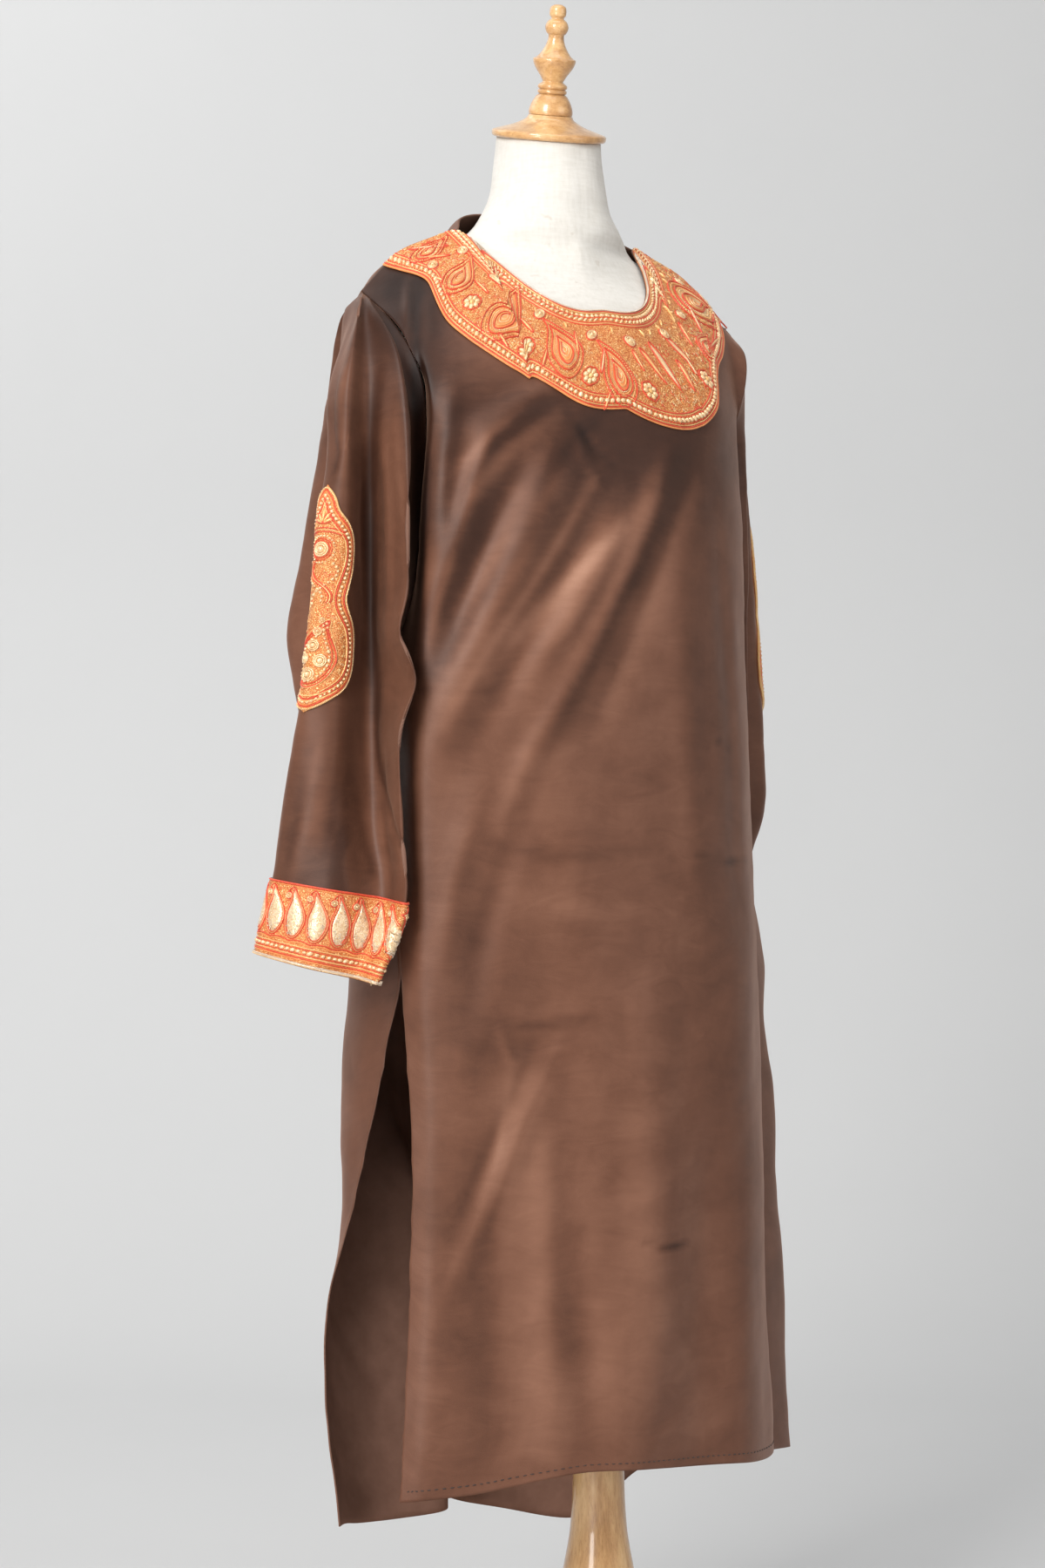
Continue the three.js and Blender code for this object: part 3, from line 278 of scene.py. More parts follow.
EDGE_COLS, MID_COLS, TOP_ROWS, ROW_STEP = 10, 128, 54, 6.8
LAST_LEVEL_Z, HEM_ROWS = 334, 20  # level rows end here, and the last rows follow the hem
S = np.r_[np.linspace(0, CORNER_S, EDGE_COLS, endpoint=False),
          np.linspace(CORNER_S, 1 - CORNER_S, MID_COLS),
          np.linspace(1 - CORNER_S, 1, EDGE_COLS + 1)[1:]]
Z_ROWS = np.arange(CHEST_Z, LAST_LEVEL_Z, -ROW_STEP)
T_ROWS = np.arange(TOP_ROWS) / TOP_ROWS


def panel(edge, lane_at, level, hem):
    """A panel's grid: rows from the shoulder down, columns from right to left."""
    inner = np.clip(S, CORNER_S, 1 - CORNER_S)
    top = np.stack([lane_at(s, T_ROWS) for s in inner], 1)
    low_z = [np.full(len(S), z) for z in Z_ROWS]
    hems = hem(S)
    low_z += [mix(Z_ROWS[-1] - 4, hems, k / HEM_ROWS) for k in range(HEM_ROWS + 1)]
    low = np.stack([level(inner, z) for z in low_z])
    p = np.concatenate([top, low])
    for left in (False, True):
        z = np.r_[mix(ARM_TOP_Z, CHEST_Z, T_ROWS**1.25), [zz[-1 if left else 0] for zz in low_z]]
        e = edge_point(edge, left, z)
        cols = range(EDGE_COLS) if not left else range(len(S) - EDGE_COLS, len(S))
        corner = p[:, EDGE_COLS if not left else len(S) - EDGE_COLS - 1].copy()
        for j in cols:
            q = (S[j] if not left else 1 - S[j]) / CORNER_S
            p[:, j] = mix(e, corner, q)
    return p


def blur(p, passes, axis=1):
    """Softens a grid along one axis, with its ends kept."""
    p = np.moveaxis(p, axis, 0).copy()
    for _ in range(passes):
        p[1:-1] = 0.25 * p[:-2] + 0.5 * p[1:-1] + 0.25 * p[2:]
    return np.moveaxis(p, 0, axis)


def front_top_at(s, t):
    """The front above the chest: share t down the lane at s, from the neckline or the seam."""
    p, run = front_lane(s)
    w = mix(float(neckline_w(shoulder_point(s)[0] - GARMENT_X)), run[-1], t)
    return np.stack([np.interp(w, run, p[:, k]) for k in range(3)], -1)


def back_top_at(s, t):
    """The back above the chest, at shares s across and t down."""
    return bezier(*back_lane(s), t)


def normals(p, side):
    """The outward directions of a grid."""
    down = np.gradient(p, axis=0)
    over = np.gradient(p, axis=1)
    n = np.cross(over, down) * side
    return n / np.maximum(np.linalg.norm(n, axis=-1, keepdims=True), 1e-9)


def plan(u, d):
    """Plan x and y of a place given across and towards the camera."""
    return math.cos(TURN) * u - math.sin(TURN) * d, -math.sin(TURN) * u - math.cos(TURN) * d


def catmull(points, t):
    """Centripetal curve through points (rows, count, 3) at shares t of the way."""
    n = points.shape[1]
    at = np.clip(t * (n - 1), 0, n - 1 - 1e-9)
    out = []
    for v in at:
        i, w = int(v), v - int(v)
        x1, x2 = points[:, i], points[:, i + 1]
        x0 = points[:, i - 1] if i > 0 else 2 * x1 - x2
        x3 = points[:, i + 2] if i + 2 < n else 2 * x2 - x1
        d0, d1, d2 = (np.sqrt(np.linalg.norm(b - a, axis=1))[:, None]
                      for a, b in ((x0, x1), (x1, x2), (x2, x3)))
        d1 = np.where(d1 < 1e-4, 1, d1)
        d0, d2 = np.where(d0 < 1e-4, d1, d0), np.where(d2 < 1e-4, d1, d2)
        t1 = ((x1 - x0) / d0 - (x2 - x0) / (d0 + d1) + (x2 - x1) / d1) * d1
        t2 = ((x2 - x1) / d1 - (x3 - x1) / (d1 + d2) + (x3 - x2) / d2) * d1
        out.append(x1 + t1 * w + (-3 * x1 + 3 * x2 - 2 * t1 - t2) * w * w
                   + (2 * x1 - 2 * x2 + t1 + t2) * w**3)
    return np.stack(out, 1)


SLEEVE_COLS, CAP_ROWS = 161, 4
SLEEVE_TOP_Z, SLEEVE_END_Z = 1389.4, 773
SLEEVE_Z = np.r_[np.linspace(SLEEVE_TOP_Z, UNDERARM_Z, 68),
                 np.linspace(UNDERARM_Z, SLEEVE_END_Z, 50)[1:]]
RIGHT_MID, LEFT_MID = 73, 80  # the column down each sleeve's outer fold


def sleeve_grid(spots, under, left):
    """A sleeve's grid: rows down from the armhole, columns around the arm."""
    z = SLEEVE_Z
    low = z < UNDERARM_Z
    start = np.where(low[:, None], under(z), edge_point(EDGE_FRONT, left, z))
    end = np.where(low[:, None], under(z), edge_point(EDGE_BACK, left, z))
    pts = np.stack([start, *spots(z), end], 1)
    p = catmull(pts, np.linspace(0, 1, SLEEVE_COLS))
    half = SLEEVE_COLS // 2
    tip = edge_point(EDGE_FRONT, left, ARM_TOP_Z)
    a = np.linspace(0, 1, half + 1)[:, None]
    seam = np.concatenate([mix(start[0], tip, a), mix(tip, end[0], a)[1:]])
    seam[:, 2] = np.where(seam[:, 2] < 1398.9, seam[:, 2], SEAM_TIP_Z)
    cap = [mix(seam, p[0], k / CAP_ROWS) for k in range(CAP_ROWS)]
    return np.concatenate([np.stack(cap), p])


def right_spots(z):
    """The places that the right sleeve's section passes through at each height."""
    r = {n: SLEEVE(n, z) for n in SLEEVE.c}
    r["ru"] = r["ru"] + 7 + 7 * smooth((z - 1060) / 60) - 8 * smooth((z - 1330) / 50)
    r["ru"] = r["ru"] + 7 * np.exp(-(((z - 1026) / 24) ** 2)) - 3 * np.exp(-(((z - 1072) / 18) ** 2))
    line = (r["vu"] - r["fu"]) / (r["ru"] - 14 - r["fu"])
    r["vd"] = mix(r["vd"], mix(r["fd"], r["rd"] + 6, line), 0.8 * smooth((z - 1180) / 120))
    tilt = lambda u: z - r["drop"] * (u - r["fu"]) / np.maximum(60, r["ru"] - r["fu"])
    spot = lambda u, d: vec(*plan(u, d), tilt(u))
    return [spot(r["ru"] - 18, r["rd"] - 24), spot(r["ru"] - 14, r["rd"] + 6),
            spot(r["vu"], r["vd"]),
            spot(mix(r["vu"], r["fu"], 0.45), mix(r["vd"], r["fd"], 0.5) + 22),
            spot(r["fu"] + 6, r["fd"] + 4), spot(r["fu"], r["fd"] - 8),
            spot(r["gu"], r["gd"]), spot(r["bu"], r["bd"] + 10),
            spot(r["bu"] + 8, r["bd"] - 22), spot(r["ku"], r["kd"])]


def left_spots(z):
    """The places that the left sleeve's section passes through at each height."""
    r = {n: LEFT_SLEEVE(n, z) for n in LEFT_SLEEVE.c}
    wide = np.maximum(20, r["fx"] - r["ix"])
    return [vec(r[k + "x"], r[k + "y"], z - r["drop"] * (r["fx"] - r[k + "x"]) / wide)
            for k in "avfbki"]


def right_under(z):
    """The right sleeve's under seam below the armhole."""
    return vec(*plan(INNER_LOWER("u", z), INNER_LOWER("d", z)), z - SLEEVE("drop", z))


def left_under(z):
    """The left sleeve's under seam below the armhole."""
    return vec(LEFT_UNDER("x", z), LEFT_UNDER("y", z), z - LEFT_SLEEVE("drop", z))


# ---- the photograph's camera, and folds placed through it -------------------------------------
CAM_D, CAM_F, CAM_U, CAM_Z = 3300.0, 3861.0, -74.4, 930.0


def picture(p):
    """Where points show in the photograph, in its pixels, and their depth."""
    u = math.cos(TURN) * p[..., 0] - math.sin(TURN) * p[..., 1]
    d = -math.sin(TURN) * p[..., 0] - math.cos(TURN) * p[..., 1]
    k = CAM_F / (CAM_D - d)
    return 600 + k * (u - CAM_U), 900 - k * (p[..., 2] - CAM_Z), d


def pick(p, n, xy):
    """The grid's own points under a line of places in the picture."""
    x, y, d = picture(p)
    facing = -(n[..., 0] * math.sin(TURN) + n[..., 1] * math.cos(TURN))
    out = []
    for a, b in xy:
        cost = (x - a) ** 2 + (y - b) ** 2 - 0.6 * d + np.where(facing > 0.05, 0, 4e3)
        out.append(p.reshape(-1, 3)[np.argmin(cost)])
    return np.array(out)


def along(p, line):
    """Distance of grid points from a line of places, share of the way along it, and its side."""
    best = np.full(p.shape[:-1], 1e9)
    share, side = np.zeros_like(best), np.zeros_like(best)
    steps = np.linalg.norm(np.diff(line, axis=0), axis=1)
    run, total = np.r_[0, np.cumsum(steps)], steps.sum()
    for k in range(len(line) - 1):
        a, ab = line[k], line[k + 1] - line[k]
        t = np.clip(((p - a) @ ab) / max(ab @ ab, 1e-6), 0, 1)
        off = p - (a + t[..., None] * ab)
        dist = np.linalg.norm(off, axis=-1)
        near = dist < best
        best = np.where(near, dist, best)
        share = np.where(near, (run[k] + t * steps[k]) / total, share)
        cross = (off[..., 0] * ab[2] - off[..., 2] * ab[0]
                 + 0.5 * (off[..., 1] * ab[2] - off[..., 2] * ab[1]))
        side = np.where(near, np.sign(cross), side)
    return best, share, side


def crease(p, n, folds, by_picture=True):
    """How far a grid moves out or in along folds: (places, height, width on each side)."""
    total = np.zeros(p.shape[:-1])
    for places, height, wa, wb in folds:
        line = pick(p, n, places) if by_picture else np.array(places, float)
        dist, share, side = along(p, line)
        wide = np.where(side > 0, wa, wb)
        taper = np.sin(np.pi * np.clip(share * 0.94 + 0.03, 0, 1)) ** 0.6
        total += height * taper * np.exp(-((dist / wide) ** 2))
    return total


def waves(p, scale, amount, seed, stretch=(1, 1, 1)):
    """Soft irregular unevenness of a grid, as a distance for each point."""
    r = np.random.RandomState(seed)
    total = np.zeros(p.shape[:-1])
    for _ in range(14):
        k = r.normal(size=3) * np.array(stretch)
        k = k / np.linalg.norm(k) * 2 * np.pi / (scale * r.uniform(0.6, 1.8))
        total += np.sin(p @ k + r.uniform(0, 6.28))
    return amount * total / 3.7


# ---- meshes -----------------------------------------------------------------------------------
def grid_object(name, p, side, flat=None, tone=None, wrap=False, part=True):
    """A smooth mesh of a grid of points in mm."""
    m, n = p.shape[:2]
    idx = np.arange(m * n).reshape(m, n)
    if wrap:
        idx = np.concatenate([idx, idx[:, :1]], 1)
    q = quads(idx).reshape(-1, 4)
    if side < 0:
        q = q[:, ::-1]
    mesh = bpy.data.meshes.new(name)
    mesh.from_pydata((p.reshape(-1, 3) * MM).tolist(), [], q.tolist())
    mesh.shade_smooth()
    loops = np.zeros(len(mesh.loops), int)
    mesh.loops.foreach_get("vertex_index", loops)
    if flat is not None:
        uv = mesh.uv_layers.new(name="flat")
        uv.data.foreach_set("uv", (flat.reshape(-1, 2)[loops] * MM).ravel())
    if tone is not None:
        a = mesh.attributes.new("tone", "FLOAT", "POINT")
        a.data.foreach_set("value", tone.ravel())
    obj = bpy.data.objects.new(name, mesh)
    bpy.context.scene.collection.objects.link(obj)
    if part:
        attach(obj, "root")
    return obj


def flat_lengths(p):
    """Each grid point's own place on the flat cloth: across, and down."""
    across = np.linalg.norm(np.diff(p, axis=1), axis=-1)
    across = np.concatenate([np.zeros((p.shape[0], 1)), np.cumsum(across, 1)], 1)
    across -= across[:, p.shape[1] // 2][:, None]
    down = np.linalg.norm(np.diff(p, axis=0), axis=-1)
    down = np.concatenate([np.zeros((1, p.shape[1])), np.cumsum(down, 0)])
    down -= down[TOP_ROWS if p.shape[0] > TOP_ROWS else 0]
    return np.stack([across, -down], -1)


def thicken(obj, thickness, inside):
    """Gives a cloth its thickness, with its own material on the reverse and the rim."""
    mod = obj.modifiers.new("cloth", "SOLIDIFY")
    mod.thickness, mod.offset, mod.use_even_offset = thickness * MM, -1, False
    mod.material_offset = 1
    mod.material_offset_rim = 1
    obj.data.materials.append(inside)


# ---- materials --------------------------------------------------------------------------------
class Nodes:
    """A material's node tree, with short calls for the nodes used here."""

    def __init__(self, name):
        self.mat = bpy.data.materials.new(name)
        self.mat.use_nodes = True
        self.t = self.mat.node_tree
        self.bsdf = self.t.nodes["Principled BSDF"]

    def new(self, kind, **values):
        node = self.t.nodes.new(kind)
        for k, v in values.items():
            if hasattr(node, k) and k not in node.inputs:
                setattr(node, k, v)
            else:
                node.inputs[k].default_value = v
        return node

    def link(self, a, b):
        self.t.links.new(a, b)
        return a

    def noise(self, coord, scale, detail=4, rough=0.55, stretch=None, distort=0.0):
        if stretch:
            m = self.new("ShaderNodeMapping")
            m.inputs["Scale"].default_value = stretch
            self.link(coord, m.inputs["Vector"])
            coord = m.outputs[0]
        n = self.new("ShaderNodeTexNoise", Scale=scale, Detail=detail, Roughness=rough)
        n.inputs["Distortion"].default_value = distort
        self.link(coord, n.inputs["Vector"])
        return n.outputs["Fac"]

    def ramp(self, fac, stops):
        r = self.new("ShaderNodeValToRGB")
        e = r.color_ramp.elements
        while len(e) < len(stops):
            e.new(0.5)
        for k, (pos, col) in enumerate(stops):
            e[k].position = pos
            e[k].color = (*col, 1) if len(col) == 3 else col
        self.link(fac, r.inputs[0])
        return r.outputs[0]

    def math(self, op, a, b=None, c=None):
        n = self.new("ShaderNodeMath", operation=op)
        for k, v in enumerate((a, b, c)):
            if v is None:
                continue
            if hasattr(v, "is_linked"):
                self.link(v, n.inputs[k])
            else:
                n.inputs[k].default_value = v
        return n.outputs[0]

    def blend(self, fac, a, b, mode="MIX"):
        n = self.new("ShaderNodeMix", data_type="RGBA", blend_type=mode)
        for sock, v in ((n.inputs[0], fac), (n.inputs[6], a), (n.inputs[7], b)):
            if hasattr(v, "is_linked"):
                self.link(v, sock)
            else:
                sock.default_value = v if not hasattr(v, "__len__") else (*v[:3], 1)
        return n.outputs[2]

    def bump(self, height, strength, distance):
        n = self.new("ShaderNodeBump", Strength=strength, Distance=distance)
        self.link(height, n.inputs["Height"])
        return self.link(n.outputs[0], self.bsdf.inputs["Normal"])

    def set(self, **values):
        for k, v in values.items():
            self.bsdf.inputs[k.replace("_", " ")].default_value = v

    def coord(self, name="UV"):
        return self.new("ShaderNodeTexCoord").outputs[name]


def velvet(name):
    """Brown velvet: the nap's patches, its sheen, and the tone that each cloth carries, with painted
    highlights and painted shade in that tone.
    """
    k = Nodes(name)
    uv = k.coord("UV")
    big = k.noise(uv, 4, 3, 0.5)
    nap = k.noise(uv, 13, 7, 0.6, (1, 0.5, 1), 0.5)
    smear = k.noise(uv, 46, 5, 0.65, (0.5, 1.3, 1), 1.2)
    fine = k.noise(uv, 1500, 2, 0.5)
    level = k.math("MULTIPLY_ADD", nap, 0.24, k.math("MULTIPLY_ADD", big, 0.16, 0.32))
    level = k.math("ADD", level, k.math("MULTIPLY_ADD", smear, 0.16, -0.08))
    # the tone attribute holds the nap's tone together with painted highlights and painted shade
    tone = k.new("ShaderNodeAttribute", attribute_name="tone").outputs["Fac"]
    level = k.math("ADD", level, tone)
    level = k.math("ADD", level, k.math("MULTIPLY_ADD", fine, 0.14, -0.07))
    col = k.ramp(level, [(0.0, (0.014, 0.0052, 0.0032)), (0.30, (0.053, 0.0205, 0.0118)),
                         (0.52, (0.136, 0.057, 0.0335)), (0.72, (0.222, 0.103, 0.064)),
                         (1.0, (0.40, 0.215, 0.145))])
    k.link(col, k.bsdf.inputs["Base Color"])
    k.link(k.math("MULTIPLY_ADD", nap, -0.25, 0.60), k.bsdf.inputs["Roughness"])
    k.set(Sheen_Weight=0.30, Sheen_Roughness=0.35, Sheen_Tint=(0.9, 0.52, 0.36, 1),
          Specular_IOR_Level=0.22)
    k.bump(k.math("ADD", fine, k.math("MULTIPLY", smear, 2.0)), 0.2, 0.0006)
    return k.mat


def velvet_inside():
    """The velvet's woven reverse."""
    k = Nodes("velvet_reverse")
    uv = k.coord("UV")
    n = k.noise(uv, 22, 5, 0.6)
    thread = k.new("ShaderNodeTexWave", Scale=900.0, Distortion=0.6)
    k.link(uv, thread.inputs["Vector"])
    col = k.ramp(n, [(0.25, (0.155, 0.080, 0.056)), (0.75, (0.250, 0.135, 0.098))])
    k.link(k.blend(0.25, col, thread.outputs["Color"], "MULTIPLY"), k.bsdf.inputs["Base Color"])
    k.set(Roughness=0.92, Specular_IOR_Level=0.15)
    k.bump(thread.outputs["Fac"], 0.3, 0.0003)
    return k.mat


def thread_mat(name, dark, light, metal, rough, scale=900.0):
    """Lustrous embroidery thread: fine stitches across, with sparkle, partly from the fine noise's
    roughness and bumps and partly painted glints in the light end of its colour.
    """
    k = Nodes(name)
    pos = k.coord("Object")
    n = k.noise(pos, scale, 2, 0.7)
    patch = k.noise(pos, 60, 3, 0.5)
    fac = k.math("MULTIPLY_ADD", n, 0.75, k.math("MULTIPLY", patch, 0.3))
    middle = mix(np.array(dark), np.array(light), 0.55).tolist()
    # the ramp's light end is partly the thread's own shades of colour and partly painted glints
    col = k.ramp(fac, [(0.32, dark), (0.58, middle), (0.74, light)])
    k.link(col, k.bsdf.inputs["Base Color"])
    k.link(k.math("MULTIPLY_ADD", n, -0.2, rough + 0.1), k.bsdf.inputs["Roughness"])
    k.set(Metallic=metal, Specular_IOR_Level=0.6, Sheen_Weight=0.1)
    k.bump(n, 0.6, 0.0006)
    return k.mat


def ground_mat():
    """The embroidered ground: dense little curls of gold on orange."""
    k = Nodes("tilla_ground")
    pos = k.coord("Object")
    warp = k.new("ShaderNodeTexNoise", Scale=260.0, Detail=1.0)
    k.link(pos, warp.inputs["Vector"])
    moved = k.new("ShaderNodeVectorMath", operation="MULTIPLY_ADD")
    k.link(warp.outputs["Color"], moved.inputs[0])
    moved.inputs[1].default_value = (0.006,) * 3
    k.link(pos, moved.inputs[2])
    cell = k.new("ShaderNodeTexVoronoi", Scale=520.0, feature="DISTANCE_TO_EDGE")
    k.link(moved.outputs[0], cell.inputs["Vector"])
    fine = k.noise(pos, 1100, 2, 0.6)
    curl = k.math("ADD", cell.outputs["Distance"], k.math("MULTIPLY_ADD", fine, 0.3, -0.15))
    col = k.ramp(curl, [(0.02, (0.46, 0.09, 0.018)), (0.12, (0.68, 0.24, 0.055)),
                        (0.27, (0.86, 0.48, 0.17)), (0.46, (0.98, 0.76, 0.42))])
    k.link(col, k.bsdf.inputs["Base Color"])
    k.link(k.ramp(fine, [(0.3, (0.6,) * 3), (0.7, (0.32,) * 3)]), k.bsdf.inputs["Roughness"])
    k.set(Metallic=0.15, Specular_IOR_Level=0.6)
    k.bump(curl, 0.9, 0.0011)
    return k.mat


def linen():
    """The dress form's cover: slubbed pale linen with faint marks."""
    k = Nodes("linen")
    pos = k.coord("Object")
    dirt = k.noise(pos, 9, 5, 0.6)
    slub = k.noise(pos, 260, 3, 0.6, (1, 1, 0.18))
    slub2 = k.noise(pos, 260, 3, 0.6, (0.2, 0.2, 1.4))
    weave = k.new("ShaderNodeTexWave", Scale=420.0, Distortion=1.4, bands_direction="Z")
    k.link(pos, weave.inputs["Vector"])
    h = k.math("ADD", k.math("ADD", slub, slub2), k.math("MULTIPLY", weave.outputs["Fac"], 0.5))
    col = k.ramp(k.math("MULTIPLY_ADD", h, 0.32, k.math("MULTIPLY", dirt, 0.3)),
                 [(0.3, (0.56, 0.53, 0.475)), (0.56, (0.69, 0.665, 0.62)), (0.8, (0.76, 0.74, 0.705))])
    speck = k.ramp(k.noise(pos, 75, 2, 0.4), [(0.70, (1, 1, 1)), (0.76, (0.62, 0.52, 0.42))])
    k.link(k.blend(0.3, col, speck, "MULTIPLY"), k.bsdf.inputs["Base Color"])
    k.set(Roughness=0.88, Sheen_Weight=0.15, Specular_IOR_Level=0.2)
    k.bump(h, 0.35, 0.0005)
    return k.mat


def wood(name, stretch):
    """Varnished wood with its grain stretched along the piece."""
    k = Nodes(name)
    pos = k.coord("Object")
    grain = k.noise(pos, 38, 8, 0.62, stretch, 0.35)
    fine = k.noise(pos, 240, 4, 0.6, stretch)
    pores = k.noise(pos, 700, 2, 0.5, stretch)
    fac = k.math("MULTIPLY_ADD", grain, 0.62, k.math("MULTIPLY", fine, 0.36))
    col = k.ramp(fac, [(0.34, (0.42, 0.205, 0.070)), (0.47, (0.60, 0.335, 0.135)),
                       (0.58, (0.72, 0.45, 0.205)), (0.72, (0.82, 0.58, 0.31))])
    dark = k.ramp(pores, [(0.34, (0.62, 0.45, 0.3)), (0.42, (1, 1, 1))])
    k.link(k.blend(0.35, col, dark, "MULTIPLY"), k.bsdf.inputs["Base Color"])
    k.set(Roughness=0.34, Coat_Weight=0.75, Coat_Roughness=0.09, Specular_IOR_Level=0.5)
    k.bump(fine, 0.06, 0.0004)
    return k.mat


VELVET = velvet("velvet")
REVERSE = velvet_inside()
GROUND = ground_mat()
RED = thread_mat("thread_red", (0.50, 0.022, 0.007), (0.84, 0.12, 0.04), 0.0, 0.5)
ORANGE = thread_mat("thread_orange", (0.62, 0.14, 0.03), (0.95, 0.42, 0.13), 0.05, 0.45)
GOLD = thread_mat("thread_gold", (0.64, 0.24, 0.05), (1.0, 0.74, 0.34), 0.2, 0.28)
PALE = thread_mat("thread_pale_gold", (0.70, 0.30, 0.08), (1.0, 0.90, 0.60), 0.3, 0.2, 1100.0)
TINSEL = thread_mat("thread_tinsel", (0.50, 0.25, 0.09), (0.98, 0.84, 0.58), 0.2, 0.24, 620.0)
SILVER = thread_mat("thread_silver", (0.42, 0.27, 0.16), (0.98, 0.88, 0.72), 0.35, 0.28, 1300.0)
DARK = thread_mat("thread_brown", (0.02, 0.010, 0.007), (0.06, 0.03, 0.02), 0.0, 0.7)
LINEN = linen()
WOOD = wood("varnished_wood", (1, 1, 0.16))
WOOD_TURNED = wood("varnished_wood_turned", (0.55, 0.55, 1.0))


# ---- cloth of the body ------------------------------------------------------------------------
def fold_cloth(p, side, folds, wide_waves, fine_waves, by_picture=True):
    """Moves a grid in or out along its folds, with some unevenness, and returns the folds' moves."""
    n = normals(p, side)
    moves = crease(p, n, folds, by_picture)
    p += n * (moves + waves(p, *wide_waves) + waves(p, *fine_waves))[..., None]
    return moves


front = panel(EDGE_FRONT, front_top_at, front_level, lambda s: FRONT_HEM("z", s))
back = panel(EDGE_BACK, back_top_at, back_level, lambda s: BACK_HEM("z", s))
front_flat, back_flat = flat_lengths(front), flat_lengths(back)
front, back = blur(front, 10), blur(back, 10)
ARM_ROWS = TOP_ROWS + int((CHEST_Z - SLIT_TOP_Z) / ROW_STEP)

FRONT_CREASES = [  # places in the picture, height in mm, width to each side
    ([(650, 444), (590, 470), (511, 508)], 4.0, 13, 15),
    ([(611, 465), (561, 504), (547, 547), (522, 618), (494, 708)], 6.5, 12, 13),
    ([(654, 515), (597, 640), (558, 718), (504, 829), (490, 879)], 9.0, 26, 22),
    ([(606, 520), (561, 618), (504, 761)], -7.5, 15, 15),
    ([(715, 611), (654, 711), (608, 765)], 5.0, 15, 13),
    ([(700, 560), (640, 680), (590, 770), (545, 860)], -4.0, 14, 14),
    ([(772, 504), (747, 590), (690, 726), (640, 815), (608, 868), (583, 940)], 5.5, 12, 14),
    ([(800, 520), (776, 610), (730, 730), (680, 840)], -3.0, 14, 16),
    ([(704, 499), (770, 503), (840, 502)], -1.3, 3, 4),
    ([(654, 476), (685, 512), (711, 536), (751, 542)], -2.2, 6, 5),
    ([(660, 490), (668, 520), (690, 560)], 1.8, 7, 7),
    ([(467, 318), (468, 350), (467, 384)], 3.0, 5, 6),
    ([(490, 338), (492, 370), (490, 405)], 2.2, 7, 8),
    ([(500, 430), (492, 520), (486, 600), (478, 720)], -3.0, 9, 9),
    ([(520, 440), (512, 520), (506, 600), (498, 690)], 3.0, 10, 9),
    ([(556, 900), (520, 1010), (505, 1130)], 2.6, 14, 12),
    ([(600, 940), (560, 1060), (540, 1180)], -2.4, 14, 14),
    ([(650, 1190), (590, 1320), (505, 1500)], 1.9, 9, 12),
    ([(615, 1200), (560, 1330), (520, 1420)], -1.7, 8, 8),
    ([(572, 1150), (566, 1350), (575, 1700)], -4.5, 26, 22),
    ([(628, 1250), (630, 1450), (636, 1700)], 4.0, 18, 16),
    ([(672, 1400), (676, 1560), (680, 1690)], -2.6, 18, 18),
    ([(742, 1150), (748, 1400), (752, 1690)], 2.6, 24, 26),
    ([(820, 560), (838, 800), (846, 1040)], -2.4, 18, 16),
    ([(770, 620), (790, 850), (800, 1060)], 2.4, 22, 22),
    ([(540, 1195), (600, 1204), (664, 1196)], -1.1, 5, 5),
    ([(570, 1170), (590, 1225), (640, 1236)], 0.9, 5, 5),
    ([(688, 1422), (728, 1430), (760, 1423), (790, 1428)], -0.7, 5, 5),
]
front_moves = fold_cloth(front, -1, FRONT_CREASES, (120, 1.1, 3, (1, 1, 0.5)), (34, 0.28, 4))

BACK_CREASES = [  # places in mm, height, widths: similar folds on the side away from the picture
    ([(-180, 120, 1330), (-150, 150, 1200), (-120, 155, 1050)], 7, 16, 22),
    ([(-100, 140, 1340), (-70, 155, 1180), (-60, 160, 1000)], -5, 18, 18),
    ([(90, 130, 1330), (70, 150, 1180), (50, 155, 1000)], 6, 18, 14),
    ([(10, 140, 1300), (-10, 150, 1150), (-20, 155, 980)], 4, 16, 18),
    ([(150, 90, 1180), (120, 130, 1060), (80, 150, 900)], 6, 14, 16),
    ([(-210, 90, 1150), (-190, 110, 1000), (-150, 140, 860)], 6, 16, 14),
    ([(-40, 155, 900), (-50, 160, 600), (-45, 165, 240)], 6, 26, 20),
    ([(20, 160, 820), (30, 165, 560), (40, 170, 260)], -6, 24, 26),
    ([(110, 120, 860), (130, 110, 600), (140, 110, 300)], 7, 20, 22),
    ([(-150, 110, 700), (-140, 110, 480), (-120, 120, 260)], 5, 18, 16),
]
back_moves = fold_cloth(back, 1, BACK_CREASES, (110, 1.3, 5, (1, 1, 0.5)), (34, 0.28, 6), False)


def soften(p):
    """Rounds a sleeve's folds, most at the cap."""
    p = blur(p, 5)
    cap = blur(blur(p, 42), 28, axis=0)
    share = np.exp(-((np.arange(len(p)) / 21.0) ** 2))[:, None, None]
    return np.concatenate([p[:1], mix(p, cap, share)[1:]])


